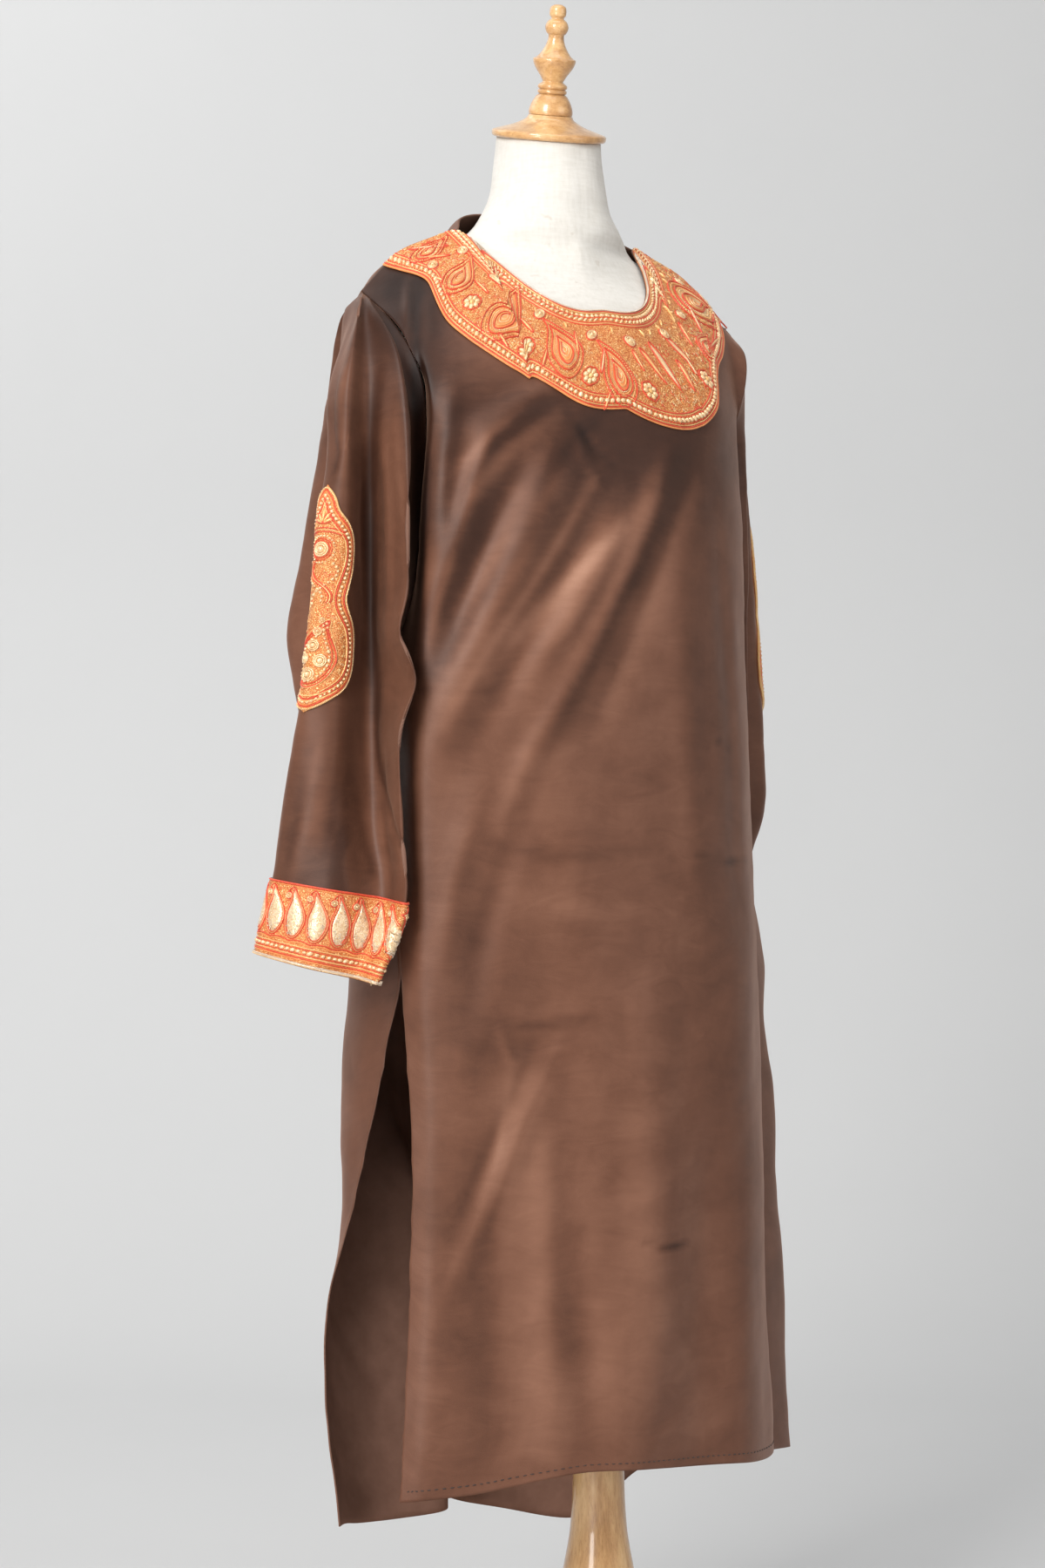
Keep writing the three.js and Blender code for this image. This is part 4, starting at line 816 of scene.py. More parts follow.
right = soften(sleeve_grid(right_spots, right_under, False))
left = soften(sleeve_grid(left_spots, left_under, True))
# Painted highlights and painted shade on the right sleeve: light bands along its fold ridges, a dark band
# down its fold valley. Picture places, width, amount.
RIGHT_SLEEVE_PAINTED_LIGHT = [
    ([(427, 470), (424, 600), (430, 760), (436, 880), (452, 960)], 6, -0.20),
    ([(456, 440), (460, 560), (462, 700)], 7, 0.10), ([(405, 360), (392, 440), (388, 520)], 6, 0.06),
    ([(365, 860), (350, 930), (335, 1005)], 6, 0.10), ([(395, 870), (388, 940), (372, 1010)], 5, 0.07),
    ([(412, 940), (425, 980), (440, 1020)], 5, -0.10), ([(408, 830), (415, 900), (430, 960)], 6, 0.07),
    ([(378, 400), (372, 470), (368, 540)], 4, -0.08),
]
RIGHT_CREASES = [
    ([(437, 860), (440, 905), (452, 948), (462, 974), (468, 1003)], -3.2, 6, 7),
    ([(424, 440), (421, 560), (424, 700), (430, 860), (446, 1040)], -3.0, 8, 8),
    ([(444, 420), (443, 600), (447, 760)], 2.4, 8, 7),
    ([(396, 420), (392, 520), (388, 560)], 2.2, 8, 6),
    ([(360, 900), (348, 960), (336, 1010)], 2.0, 9, 9),
    ([(400, 850), (380, 930), (365, 1005)], -1.6, 10, 10),
    ([(405, 945), (395, 985), (400, 1030)], 1.8, 7, 8),
    ([(430, 990), (424, 1015), (436, 1045)], 1.5, 6, 6),
]
right_moves = fold_cloth(right, 1, RIGHT_CREASES, (90, 0.7, 7), (30, 0.22, 8))
LEFT_CREASES = [
    ([(200, 20, 1330), (214, 40, 1180), (226, 70, 1040)], 4, 10, 12),
    ([(196, 80, 1340), (208, 100, 1200), (216, 115, 1060)], -4, 12, 12),
    ([(236, 80, 1000), (232, 110, 900), (222, 130, 800)], 3, 12, 12),
    ([(218, 30, 1000), (222, 60, 940), (214, 80, 860)], -3, 10, 10),
]
left_moves = fold_cloth(left, -1, LEFT_CREASES, (90, 0.8, 9), (30, 0.25, 10), False)

# The nap lies darker or lighter here and there, and painted shade and painted highlights are laid the same
# way: shade under the collar, in the gap between the right sleeve and the body and down the sleeve's fold
# valley, highlights along the sleeve's ridges. Places in the picture, half sizes, amount.
NAP_AND_PAINTED_LIGHT_PATCHES = [
    (464, 330, 50, 62, -0.55), (500, 420, 40, 50, -0.16), (560, 470, 90, 40, -0.14),
    (760, 540, 130, 80, -0.14), (640, 560, 170, 130, -0.06), (478, 560, 9, 170, -0.45),
    (486, 440, 8, 30, -0.25), (482, 730, 7, 60, -0.2), (500, 620, 36, 130, -0.10),
    (690, 700, 60, 120, 0.07), (640, 900, 120, 90, 0.07), (800, 760, 60, 160, -0.05),
    (600, 1300, 90, 180, 0.10), (760, 1400, 120, 200, 0.05), (640, 1620, 90, 90, 0.07),
    (830, 1250, 40, 300, -0.05), (520, 1100, 60, 120, -0.04), (588, 1208, 70, 26, -0.10),
    (640, 1040, 60, 16, 0.08), (500, 1500, 40, 150, -0.05), (427, 660, 11, 240, -0.08),
    (385, 940, 50, 90, -0.14), (440, 620, 60, 300, -0.06), (360, 1000, 60, 40, -0.08),
    (430, 420, 60, 60, -0.08), (365, 900, 12, 120, 0.07), (420, 960, 8, 60, 0.07),
    (745, 520, 120, 50, -0.12), (640, 470, 120, 40, -0.10), (372, 480, 26, 60, -0.05),
    (455, 640, 20, 200, 0.04), (340, 900, 40, 60, -0.05),
]
FRONT_PAINTED_LIGHT = [  # bands of painted highlight and painted shade along the folds, standing in for the velvet's sheen: picture places, width, amount
    ([(640, 472), (580, 520), (530, 590)], 9, 0.16), ([(600, 470), (560, 500), (520, 545)], 5, 0.10),
    ([(742, 575), (680, 640), (600, 722), (560, 770)], 10, 0.20),
    ([(690, 530), (640, 625), (560, 745), (512, 830)], 7, 0.16),
    ([(630, 580), (560, 680), (490, 790)], 10, -0.16),
    ([(760, 600), (690, 720), (620, 850)], 13, -0.13),
    ([(520, 470), (500, 540), (492, 640)], 12, -0.14), ([(700, 460), (640, 530), (590, 600)], 9, -0.12),
    ([(800, 560), (740, 700), (690, 840)], 10, 0.08), ([(520, 640), (500, 700), (488, 760)], 5, 0.14),
    ([(570, 500), (535, 560), (515, 640)], 6, -0.10), ([(470, 300), (473, 345), (472, 385)], 5, 0.10),
    ([(560, 968), (640, 985), (760, 975)], 6, -0.07),
    ([(555, 1170), (610, 1180), (682, 1166)], 5, -0.09),
    ([(640, 1040), (700, 1050), (760, 1030)], 7, 0.05),
    ([(590, 1220), (570, 1320), (540, 1430)], 5, 0.07),
    ([(640, 1210), (600, 1300), (560, 1420)], 4, -0.06),
    ([(738, 1424), (762, 1430), (790, 1424)], 3.0, -0.16),
    ([(640, 1560), (650, 1640), (640, 1700)], 14, 0.07),
    ([(480, 1300), (488, 1500), (480, 1700)], 10, 0.05),
    ([(800, 985), (840, 992), (862, 988)], 3, -0.14), ([(812, 860), (826, 850), (838, 858)], 2, -0.10),
    ([(750, 1330), (760, 1480), (745, 1600)], 16, 0.05),
    ([(700, 1240), (705, 1360), (690, 1500)], 12, -0.03),
]


# How much painted highlight and shade the folds get: by their slope towards the light, and by how far each
# fold stands out or sinks in.
LIT_SIDE, FOLD_TOP_PAINTED_LIGHT = 0.42, 0.010


def nap_tone_and_painted_light(p, base, moves):
    """Nap tone with painted light: painted highlight on the lit side of each fold and along its top,
    painted shade on the far side and in the hollows, then the painted bands and patches.
    """
    x, y, _ = picture(p)
    step = np.linalg.norm(np.gradient(p, axis=1), axis=-1)
    slope = np.gradient(moves, axis=1) / np.maximum(0.5, step)
    slope = np.where(p[..., 1] > 60, 0, slope)
    total = base + waves(p, 60, 0.018, 21, (0.6, 0.6, 1.3)) + waves(p, 22, 0.010, 22)
    # painted light from the folds: lighter where the cloth turns towards the light or stands out, darker
    # where it turns away or sinks in
    total = total + LIT_SIDE * slope + FOLD_TOP_PAINTED_LIGHT * moves
    # painted highlight and painted shade bands along the front's and the right sleeve's folds
    for grid, side, painted_bands, force in ((front, -1, FRONT_PAINTED_LIGHT, 1.5), (right, 1, RIGHT_SLEEVE_PAINTED_LIGHT, 1.0)):
        if p is not grid:
            continue
        n = normals(p, side)
        for places, wide, amount in painted_bands:
            dist, share, _ = along(p, pick(p, n, places))
            ends = np.sin(np.pi * np.clip(share, 0.04, 0.96)) ** 0.5
            total += force * amount * np.exp(-((dist / wide) ** 2)) * ends
    # soft patches of nap tone, painted shade and painted highlight
    for a, b, wa, wb, amount in NAP_AND_PAINTED_LIGHT_PATCHES if p is not back else []:
        total = total + amount * np.exp(-((x - a) / wa) ** 2 - ((y - b) / wb) ** 2)
    return total


def cloth_object(name, p, side, flat, base, moves):
    """A thick velvet piece from a grid."""
    obj = grid_object(name, p, side, flat, nap_tone_and_painted_light(p, base, moves))
    obj.data.materials.append(VELVET)
    thicken(obj, VELVET_THICK, REVERSE)
    return obj


def worn_edge(p, cols, row0, row1, seed, amount):
    """A raw cut edge: the last points wander in and out a little."""
    r = np.random.RandomState(seed)
    knots = np.arange(0, row1 - row0, 2)
    wob = np.interp(np.arange(row1 - row0), knots, r.normal(size=len(knots)))
    j, k = cols
    out = p[row0:row1, j] - p[row0:row1, k]
    out /= np.linalg.norm(out, axis=-1, keepdims=True)
    p[row0:row1, j] += out * wob[:, None] * amount


worn_edge(back, (0, 1), ARM_ROWS, back.shape[0], 31, 0.7)
worn_edge(back, (-1, -2), ARM_ROWS, back.shape[0], 32, 0.7)
worn_edge(front, (0, 1), ARM_ROWS, front.shape[0], 33, 0.5)

front_obj = cloth_object("front_cloth", front, -1, front_flat, 0.0, front_moves)
back_obj = cloth_object("back_cloth", back, 1, back_flat, -0.03, back_moves)
right_flat, left_flat = flat_lengths(right), flat_lengths(left)
right_obj = cloth_object("sleeve_right_cloth", right, 1, right_flat, 0.0, right_moves)
left_obj = cloth_object("sleeve_left_cloth", left, -1, left_flat, -0.02, left_moves)
for obj, node in ((front_obj, "front_panel"), (back_obj, "back_panel"),
                  (right_obj, "sleeve_right"), (left_obj, "sleeve_left")):
    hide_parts(node)


# ---- stitched work ----------------------------------------------------------------------------
BASE = 1.7  # the embroidered ground's height over the cloth


class Work:
    """Cords, beads and filled shapes on a host surface, gathered into one mesh."""

    def __init__(self, name, host, mats):
        self.name, self.host = name, host
        self.mats = {m: i for i, m in enumerate(mats)}
        self.list = list(mats.values())
        self.v, self.f, self.m, self.n = [], [], [], 0

    def add(self, verts, faces, mat):
        self.v.append(verts.reshape(-1, 3))
        self.f.append(np.asarray(faces).reshape(-1, 4) + self.n)
        self.m.append(np.full(len(self.f[-1]), self.mats[mat]))
        self.n += len(self.v[-1])

    def cord(self, uv, width, height, mat, lift=0.0, closed=False, sides=4):
        """A half-round cord along places on the flat cloth."""
        uv = np.asarray(uv, float)
        if closed:
            uv = np.concatenate([uv, uv[:1]])
        d = np.gradient(uv, axis=0)
        if closed:
            d[0] = d[-1] = uv[1] - uv[-2]
        d /= np.maximum(np.linalg.norm(d, axis=1, keepdims=True), 1e-9)
        across = np.stack([-d[:, 1], d[:, 0]], 1)
        a = np.linspace(0, np.pi, sides + 1)
        place = uv[:, None] + across[:, None] * (np.cos(a) * width / 2)[None, :, None]
        lifts = np.broadcast_to(lift + np.sin(a) * height, place.shape[:2])
        p = self.host(place[..., 0], place[..., 1], lifts)
        m, n = p.shape[:2]
        i = np.arange(m * n).reshape(m, n)
        self.add(p, quads(i), mat)

    def domes(self, centres, turns, long, wide, height, mat, lift=0.0, sides=7, round_top=True):
        """Small rounded stitches, each at a place and a turn on the flat cloth."""
        c = np.asarray(centres, float)
        k = len(c)
        if not k:
            return
        turns = np.broadcast_to(turns, k)
        a = angles(sides)
        rings = [(1.0, 0.0), (0.86, 0.62), (0.45, 0.94), (0.02, 1.0)] if round_top else [
            (1.0, 0.0), (0.70, 0.80), (0.03, 1.0)]
        long, wide = np.broadcast_to(long, k), np.broadcast_to(wide, k)
        x = np.stack([r * np.cos(a) for r, _ in rings])[None] * long[:, None, None] / 2
        y = np.stack([r * np.sin(a) for r, _ in rings])[None] * wide[:, None, None] / 2
        h = np.array([q for _, q in rings])[None, :, None] * height + 0 * x
        ct, st = np.cos(turns)[:, None, None], np.sin(turns)[:, None, None]
        across = c[:, 0, None, None] + x * ct - y * st
        down = c[:, 1, None, None] + x * st + y * ct
        p = self.host(across, down, lift + h)
        m = len(rings)
        i = np.arange(m * sides).reshape(m, sides)
        j = np.roll(i, -1, 1)
        one = np.stack([i[:-1], j[:-1], j[1:], i[1:]], -1).reshape(-1, 4)
        self.add(p, (one[None] + (np.arange(k) * m * sides)[:, None, None]), mat)

    def fill(self, outline, height, mat, lift=0.0, power=0.5, rings=5):
        """A raised satin-stitched shape inside a closed outline."""
        uv = np.asarray(outline, float)
        mid = uv.mean(0)
        levels = np.linspace(0, 1, rings)
        place = mid + (uv - mid)[None] * (1 - levels)[:, None, None]
        h = np.broadcast_to((1 - (1 - levels) ** 2)[:, None] ** power * height, place.shape[:2])
        p = self.host(place[..., 0], place[..., 1], lift + h)
        m, n = p.shape[:2]
        i = np.arange(m * n).reshape(m, n)
        j = np.roll(i, -1, 1)
        self.add(p, np.stack([i[:-1], j[:-1], j[1:], i[1:]], -1), mat)

    def chain(self, uv, pitch, long, wide, height, mat, lift=0.0, lean=0.6, jitter=0.12):
        """Stitches one after another along a line."""
        uv = np.asarray(uv, float)
        steps = np.r_[0, np.cumsum(np.linalg.norm(np.diff(uv, axis=0), axis=1))]
        n = max(2, int(steps[-1] / pitch))
        at = (np.arange(n) + 0.5) * steps[-1] / n + rng.normal(size=n) * jitter * pitch * 0.3
        c = np.stack([np.interp(at, steps, uv[:, k]) for k in (0, 1)], 1)
        ahead = np.stack([np.interp(at + 0.5, steps, uv[:, k]) for k in (0, 1)], 1) - c
        turn = np.arctan2(ahead[:, 1], ahead[:, 0]) + lean + rng.normal(size=n) * 0.12
        size = 1 + rng.normal(size=n) * jitter
        big = long > 3
        self.domes(c, turn, long * size, wide * size, height, mat, lift, 7 if big else 6, big)

    def button(self, c, r, red=True):
        """A round coiled spot with a raised middle."""
        c = np.asarray(c, float)
        a = angles(28)
        ring = lambda q: c + q * circle(a)
        if red:
            self.cord(ring(r * 1.12), 1.2, 1.2 + BASE, "red", closed=True)
        for q in (0.86, 0.60):
            self.cord(ring(r * q), r * 0.28, 1.9 + (1 - q) * 1.2, "pale", BASE, closed=True)
        self.domes([c], 0.0, r * 0.95, r * 0.95, 3.1, "pale", BASE)

    def flower(self, c, r, petals=7):
        """A round flower of domed petals with a red rim."""
        c, turn = np.asarray(c, float), 0.2
        a = turn + np.arange(petals) * 2 * np.pi / petals
        spots = c + 0.62 * r * circle(a)
        self.domes(spots, a, r * 0.70, r * 0.56, 2.2, "pale", BASE)
        self.domes([c], 0.0, r * 0.6, r * 0.6, 2.6, "gold", BASE)
        b = angles(petals * 10)
        rr = r * (0.99 + 0.10 * np.abs(np.cos(petals * (b - turn) / 2)))
        rim = c + rr[:, None] * circle(b)
        self.cord(rim, 1.2, 1.3, "red", BASE, closed=True)

    def build(self):
        """One mesh of all that was added, riding with the robe."""
        mesh = bpy.data.meshes.new(self.name)
        v = np.concatenate(self.v) * MM
        mesh.from_pydata(v.tolist(), [], np.concatenate(self.f).tolist())
        mesh.shade_smooth()
        for mat in self.list:
            mesh.materials.append(mat)
        mesh.polygons.foreach_set("material_index", np.concatenate(self.m).astype(np.int32))
        obj = bpy.data.objects.new(self.name, mesh)
        bpy.context.scene.collection.objects.link(obj)
        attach(obj, "root")
        return obj


THREADS = {"red": RED, "orange": ORANGE, "gold": GOLD, "pale": PALE, "silver": SILVER,
           "tinsel": TINSEL, "brown": DARK}


def paisley(size, slim=0.62, n=44):
    """A curled drop: its round end at the origin, its tip curling over at the far end."""
    t = angles(n)
    y = size * (1 - np.cos(t)) / 2
    q = y / size
    taper = 1 - 0.85 * smooth((q - 0.3) / 0.7)
    wide = size * slim * 0.5 * np.sin(t) * np.abs(np.sin(t / 2)) ** 0.1 * taper
    return np.stack([wide + 0.24 * size * q**2.6, y - 0.06 * size * q**5], 1)


def turned(shape, c, turn, flip=1):
    """A flat shape turned, and mirrored when flip is -1, and set at c."""
    ct, st = math.cos(turn), math.sin(turn)
    x, y = shape[:, 0] * flip, shape[:, 1]
    return np.stack([c[0] + x * ct - y * st, c[1] + x * st + y * ct], 1)


def sampler(p, n, rows_cols):
    """A host: places on the flat cloth, and lifts, to points on a grid."""
    def host(u, w, lift):
        r, c = rows_cols(np.asarray(u, float), np.asarray(w, float))
        r = np.clip(r, 0, p.shape[0] - 1.001)
        c = np.clip(c, 0, p.shape[1] - 1.001)
        i, j = r.astype(int), c.astype(int)
        a, b = (r - i)[..., None], (c - j)[..., None]
        blend_cells = lambda g: (g[i, j] * (1 - a) * (1 - b) + g[i, j + 1] * (1 - a) * b
                           + g[i + 1, j] * a * (1 - b) + g[i + 1, j + 1] * a * b)
        return blend_cells(p) + blend_cells(n) * np.asarray(lift)[..., None]
    return host


# The front's flat places: u across from the middle, w down from the shoulder seam.
front_n = normals(front, -1)
LANES = np.linspace(-184, 184, 93)
LANE_RUN = np.array([front_lane((dx + SHOULDER_HALF) / (2 * SHOULDER_HALF))[1][-1] for dx in LANES])


def front_rows_cols(u, w):
    """Grid row and column of a flat place on the front."""
    s = (u + SHOULDER_HALF) / (2 * SHOULDER_HALF)
    total = np.interp(u, LANES, LANE_RUN)
    top = neckline_w(u)
    row = np.where(w < total, (w - top) / (total - top) * TOP_ROWS, TOP_ROWS + (w - total) / ROW_STEP)
    return row, np.interp(s, S, np.arange(len(S)))


on_front = sampler(front, front_n, front_rows_cols)


def inner_reach(th):
    """From the neck's middle to the neckline, at an angle from straight down."""
    return 1 / np.sqrt((np.sin(th) / NECK_HALF) ** 2 + (np.cos(th) / NECK_DEPTH) ** 2)


def outer_reach(th):
    """From the neck's middle to the collar's outer edge, softened over a few degrees."""
    turn = np.degrees(th)
    return sum(COLLAR("reach", turn + k) for k in (-2.4, -1.2, 0, 1.2, 2.4)) / 5 - 2.5


def neck_place(angle, a=None, b=None, share=None):
    """A place on the collar: angle from straight down in degrees, a mm out from the neckline,
    b mm in from the outer edge, or a share of the way between."""
    th = np.radians(np.asarray(angle, float))
    r0, r1 = inner_reach(th), outer_reach(th)
    if share is not None:
        r = mix(r0, r1, np.asarray(share, float))
    else:
        r = r0 + a if b is None else r1 - b
    return np.stack(np.broadcast_arrays(r * np.sin(th), r * np.cos(th)), -1)


collar = Work("collar_work", on_front, THREADS)
ANG = np.linspace(-89.5, 89.5, 300)
share = np.linspace(0, 1, 36)
aa, ss = np.meshgrid(ANG, share, indexing="ij")
place = neck_place(aa, share=ss)
edge_dip = 1.0 * (1 - np.minimum(1, np.minimum(ss, 1 - ss) * 18))
base_p = on_front(place[..., 0], place[..., 1], BASE - edge_dip)
collar_obj = grid_object("collar_ground", base_p, 1, place)
collar_obj.data.materials.append(GROUND)
thicken(collar_obj, GROUND_THICK, ORANGE)
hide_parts("collar")

# Borders, from the neckline outwards and from the outer edge inwards.
collar.cord(neck_place(ANG, a=0.5), 1.7, 1.6, "silver", BASE - 0.9)
collar.chain(neck_place(ANG, a=0.8), 1.9, 1.5, 1.2, 0.9, "silver", BASE + 0.4, 0.5)
NECK_LINES = ((2.6, "red", 1.1), (4.2, "gold", 1.1), (15.6, "red", 1.0), (17.2, "gold", 1.0),
              (18.8, "red", 1.1))
for a, mat, wide in NECK_LINES:
    collar.cord(neck_place(ANG, a=a), wide, 0.8, mat, BASE)
collar.chain(neck_place(ANG, a=7.6), 5.6, 5.2, 2.7, 1.8, "pale", BASE, 0.55)
collar.chain(neck_place(ANG, a=12.2), 5.6, 5.2, 2.6, 1.6, "pale", BASE, -0.55)
collar.cord(neck_place(ANG, a=9.9), 0.9, 0.9, "red", BASE)
EDGE_LINES = ((0.3, "orange", 1.7), (1.8, "red", 1.1), (3.3, "gold", 1.0), (12.2, "gold", 1.0),
              (13.8, "red", 1.2))
for b, mat, wide in EDGE_LINES:
    collar.cord(neck_place(ANG, b=b), wide, 0.9 if b > 1 else 1.3, mat, BASE - (0.5 if b < 1 else 0))
collar.chain(neck_place(ANG, b=7.8), 6.0, 5.0, 4.0, 2.2, "pale", BASE, 0.45)
collar.chain(neck_place(ANG, b=4.9), 3.4, 2.6, 1.4, 0.9, "red", BASE, 0.3)
collar.chain(neck_place(ANG, b=10.7), 3.4, 2.6, 1.4, 0.9, "red", BASE, -0.3)

base_x, base_y, _ = picture(base_p)


def flat_at(x, y):
    """The flat place of the collar that shows at a place in the picture."""
    return place.reshape(-1, 2)[np.argmin((base_x - x) ** 2 + (base_y - y) ** 2)]


def between(a, b):
    """Flat start, length and turn of a motif from one place in the picture to another."""
    a, b = flat_at(*a), flat_at(*b)
    d = b - a
    return a, float(np.hypot(*d)), math.atan2(-d[0], d[1])


def drop(work, c, size, turn, flip, fill, slim):
    """A curled drop: red outline, gold rows, a satin middle with a hooked line in it."""
    ahead = np.array([-math.sin(turn), math.cos(turn)])
    c = c - 0.08 * size * ahead
    size = size * 1.2

    def shape(k, shift, w=1.0):
        return turned(paisley(size * k, slim * w), c + shift * size * ahead, turn, flip)

    outer, row = shape(1.0, 0), shape(0.88, 0.06)
    line, core = shape(0.74, 0.12), shape(0.46, 0.20, 0.85)
    work.cord(outer, 1.15, 1.5, "red", BASE, closed=True)
    work.chain(joined(row), 2.3, 2.0, 1.3, 1.3, "gold", BASE, 0.3)
    work.cord(line, 1.0, 1.6, "red", BASE, closed=True)
    work.fill(line, 0.7, fill, BASE - 0.1, 0.5)
    for k, shift, mat in ((0.63, 0.155, "gold"), (0.54, 0.185, "pale")):
        inner = shape(k, shift)
        work.chain(joined(inner), 1.7, 1.7, 1.0, 1.2, mat, BASE + 0.3, 0.8)
    work.cord(core, 1.0, 2.2, "red", BASE, closed=True)
    work.fill(core, 1.4, "orange", BASE, 0.4)
    for k, mat in ((0.35, "gold"), (0.24, "pale"), (0.13, "pale")):
        inner = mix(core.mean(0), core, k / 0.46)
        work.cord(inner, 0.9, 2.1, mat, BASE, closed=True)
    hook = core[3:len(core) // 2 + 6]
    work.cord(mix(hook, core.mean(0), 0.5), 0.9, 2.4, "red", BASE + 0.2)


def leaf(work, c, long, wide, turn, mat, rim="red"):
    """A padded leaf from its base at a place, with a thin rim unless rim is None."""
    t = angles(30)
    half = wide / 2 * np.sin(t) * np.abs(np.sin(t / 2)) ** 0.6
    shape = np.stack([half, long * (0.5 - 0.5 * np.cos(t))], 1)
    work.fill(turned(shape, c, turn), 1.7, mat, BASE, 0.45, 5)
    if rim:
        work.cord(turned(shape * [1.35, 1.06], c, turn), 1.0, 1.2, rim, BASE, closed=True)


DROPS = [  # picture places of the round end and the tip, width share, side of the curl, filling
    ((512, 334), (554, 303), 0.58, 1, "gold"), ((560, 384), (608, 340), 0.66, 1, "orange"),
    ((654, 428), (642, 366), 0.56, 1, "orange"), ((717, 462), (704, 390), 0.48, 1, "orange"),
    ((786, 354), (812, 338), 0.62, -1, "gold"), ((815, 414), (801, 378), 0.55, -1, "orange"),
    ((474, 298), (520, 277), 0.50, 1, "gold")]
BUTTONS = [(497, 304), (531, 287), (570, 322), (620, 360), (678, 384), (722, 391), (763, 385),
           (781, 361), (779, 324)]
FLOWERS = [(543, 346), (604, 397), (677, 430), (747, 450), (813, 345), (812, 436)]
LEAVES = [  # picture places of the base and the tip, width, thread
    ((782, 448), (747, 396), 8.0, "pale"), ((802, 432), (763, 386), 6.4, "pale"),
    ((765, 441), (736, 400), 5.0, "gold"), ((797, 449), (777, 414), 4.6, "gold"),
    ((468, 286), (512, 283), 3.2, "pale"), ((480, 298), (515, 293), 2.6, "gold"),
    ((596, 366), (612, 382), 2.6, "gold"), ((660, 380), (664, 404), 2.6, "gold"),
    ((694, 400), (690, 426), 2.8, "pale"), ((584, 400), (572, 384), 2.6, "gold"),
    ((628, 400), (622, 420), 2.8, "gold"), ((740, 428), (726, 402), 3.0, "gold"),
    ((700, 448), (694, 470), 2.6, "gold"), ((545, 322), (560, 335), 2.6, "gold"),
    ((804, 382), (789, 348), 4.6, "pale"), ((795, 398), (780, 372), 3.0, "gold"),
    ((812, 402), (826, 388), 2.6, "gold"), ((508, 322), (500, 318), 2.6, "gold"),
]
for a, b, slim, flip, filling in DROPS:
    c, size, turn = between(a, b)
    drop(collar, c, size, turn, flip, filling, slim)
for xy in BUTTONS:
    collar.button(flat_at(*xy), 5.4)
for xy in FLOWERS:
    collar.flower(flat_at(*xy), 8.8, 7)
for a, b, wide, mat in LEAVES:
    c, size, turn = between(a, b)
    leaf(collar, c, size, wide, turn, mat)
for angle in np.arange(-88, 89, 5.2):
    if rng.uniform() < 0.8:
        lean = -math.radians(angle) + rng.uniform(-0.7, 0.7)
        leaf(collar, neck_place(angle, a=21.5), 7.5, 2.2, lean, "gold", rim=None)


def curls(work, inside, count, size, seed, lift, mats=("gold", "orange", "gold", "pale", "red")):
    """Short curled stitches scattered over the ground."""
    r = np.random.RandomState(seed)
    for k in range(count):
        c = inside(r)
        a0, turn = r.uniform(0, 6.28), r.choice([-1, 1])
        t = np.linspace(0, 1, 5)
        a = a0 + turn * t * r.uniform(2.2, 4.6)
        rr = size * r.uniform(0.5, 1.0)
        uv = c + rr * circle(a) * (0.55 + 0.45 * t)[:, None]
        work.cord(uv, 0.5, 0.6, mats[k % len(mats)], lift, sides=2)


def in_collar(r):
    """A random place inside the collar's borders."""
    angle = r.uniform(-89, 89)
    th = math.radians(angle)
    r0, r1 = inner_reach(th) + 19, outer_reach(th) - 15
    return neck_place(angle, a=math.sqrt(r.uniform(0, 1)) * (r1 - r0) + 19)


curls(collar, in_collar, 2500, 2.3, 41, BASE - 0.05)
collar_work = collar.build()

hem = Work("hem_stitches", sampler(front, front_n, lambda u, w: (w, u)), THREADS)
COLS_AT = np.arange(3, front.shape[1] - 3, 0.25)
STITCHES_UP, HEM_ROW_STEP = 10.0, 3.2  # mm above the edge, mm from one hem row to the next
row = front.shape[0] - 1 - STITCHES_UP / HEM_ROW_STEP
hem.chain(np.stack([COLS_AT, 0 * COLS_AT + row], 1), 2.0, 1.3, 0.5, 0.8, "brown", -0.1, 0.0, 0.05)
hem_obj = hem.build()

# ---- sleeve patches and cuffs -----------------------------------------------------------------
def sleeve_host(p, n, mid):
    """Flat places on a sleeve: u across from its column mid, w down from the grid's first row."""
    down = np.r_[0, np.cumsum(np.linalg.norm(np.diff(p[:, mid], axis=0), axis=1))]
    across = np.concatenate([np.zeros((p.shape[0], 1)),
                             np.cumsum(np.linalg.norm(np.diff(p, axis=1), axis=-1), 1)], 1)
    across -= across[:, mid][:, None]

    def rows_cols(u, w):
        row = np.interp(w, down, np.arange(len(down)))
        u = np.broadcast_to(u, row.shape)
        flat_row, flat_u = row.ravel(), u.ravel()
        out = np.empty(flat_row.shape)
        i = np.clip(flat_row.astype(int), 0, p.shape[0] - 2)
        for k in np.unique(i):
            here = i == k
            line = mix(across[k], across[k + 1], 0.5)
            out[here] = np.interp(flat_u[here], line, np.arange(p.shape[1]))
        return row, out.reshape(row.shape)

    host = sampler(p, n, rows_cols)
    z_to_w = lambda z: float(np.interp(-z, -p[CAP_ROWS:, mid, 2], down[CAP_ROWS:]))
    return host, z_to_w, across, down


PATCH_TOP_Z, PATCH_LOW_Z, CUFF_TOP_Z = 1206, 996, 842
CUFF_DRAWN, DROP_PITCH = 74, 21.5  # the depth that the cuff's pattern was laid out for, its repeat
PATCH = Tab("t half", [
    [0, 0.5], [0.06, 10], [0.11, 13], [0.16, 22], [0.22, 30.5], [0.28, 33.5], [0.35, 33], [0.43, 29],
    [0.5, 26], [0.55, 30], [0.61, 38], [0.68, 42.5], [0.76, 43.5], [0.83, 41], [0.89, 34],
    [0.94, 22], [0.975, 10], [1, 0.5]])


def inset(line, amount):
    """A closed outline moved in by an amount."""
    d = np.roll(line, -2, 0) - np.roll(line, 2, 0)
    d /= np.linalg.norm(d, axis=1, keepdims=True)
    out = line + amount * np.stack([-d[:, 1], d[:, 0]], 1)
    for _ in range(6):
        out = 0.25 * np.roll(out, 1, 0) + 0.5 * out + 0.25 * np.roll(out, -1, 0)
    return out


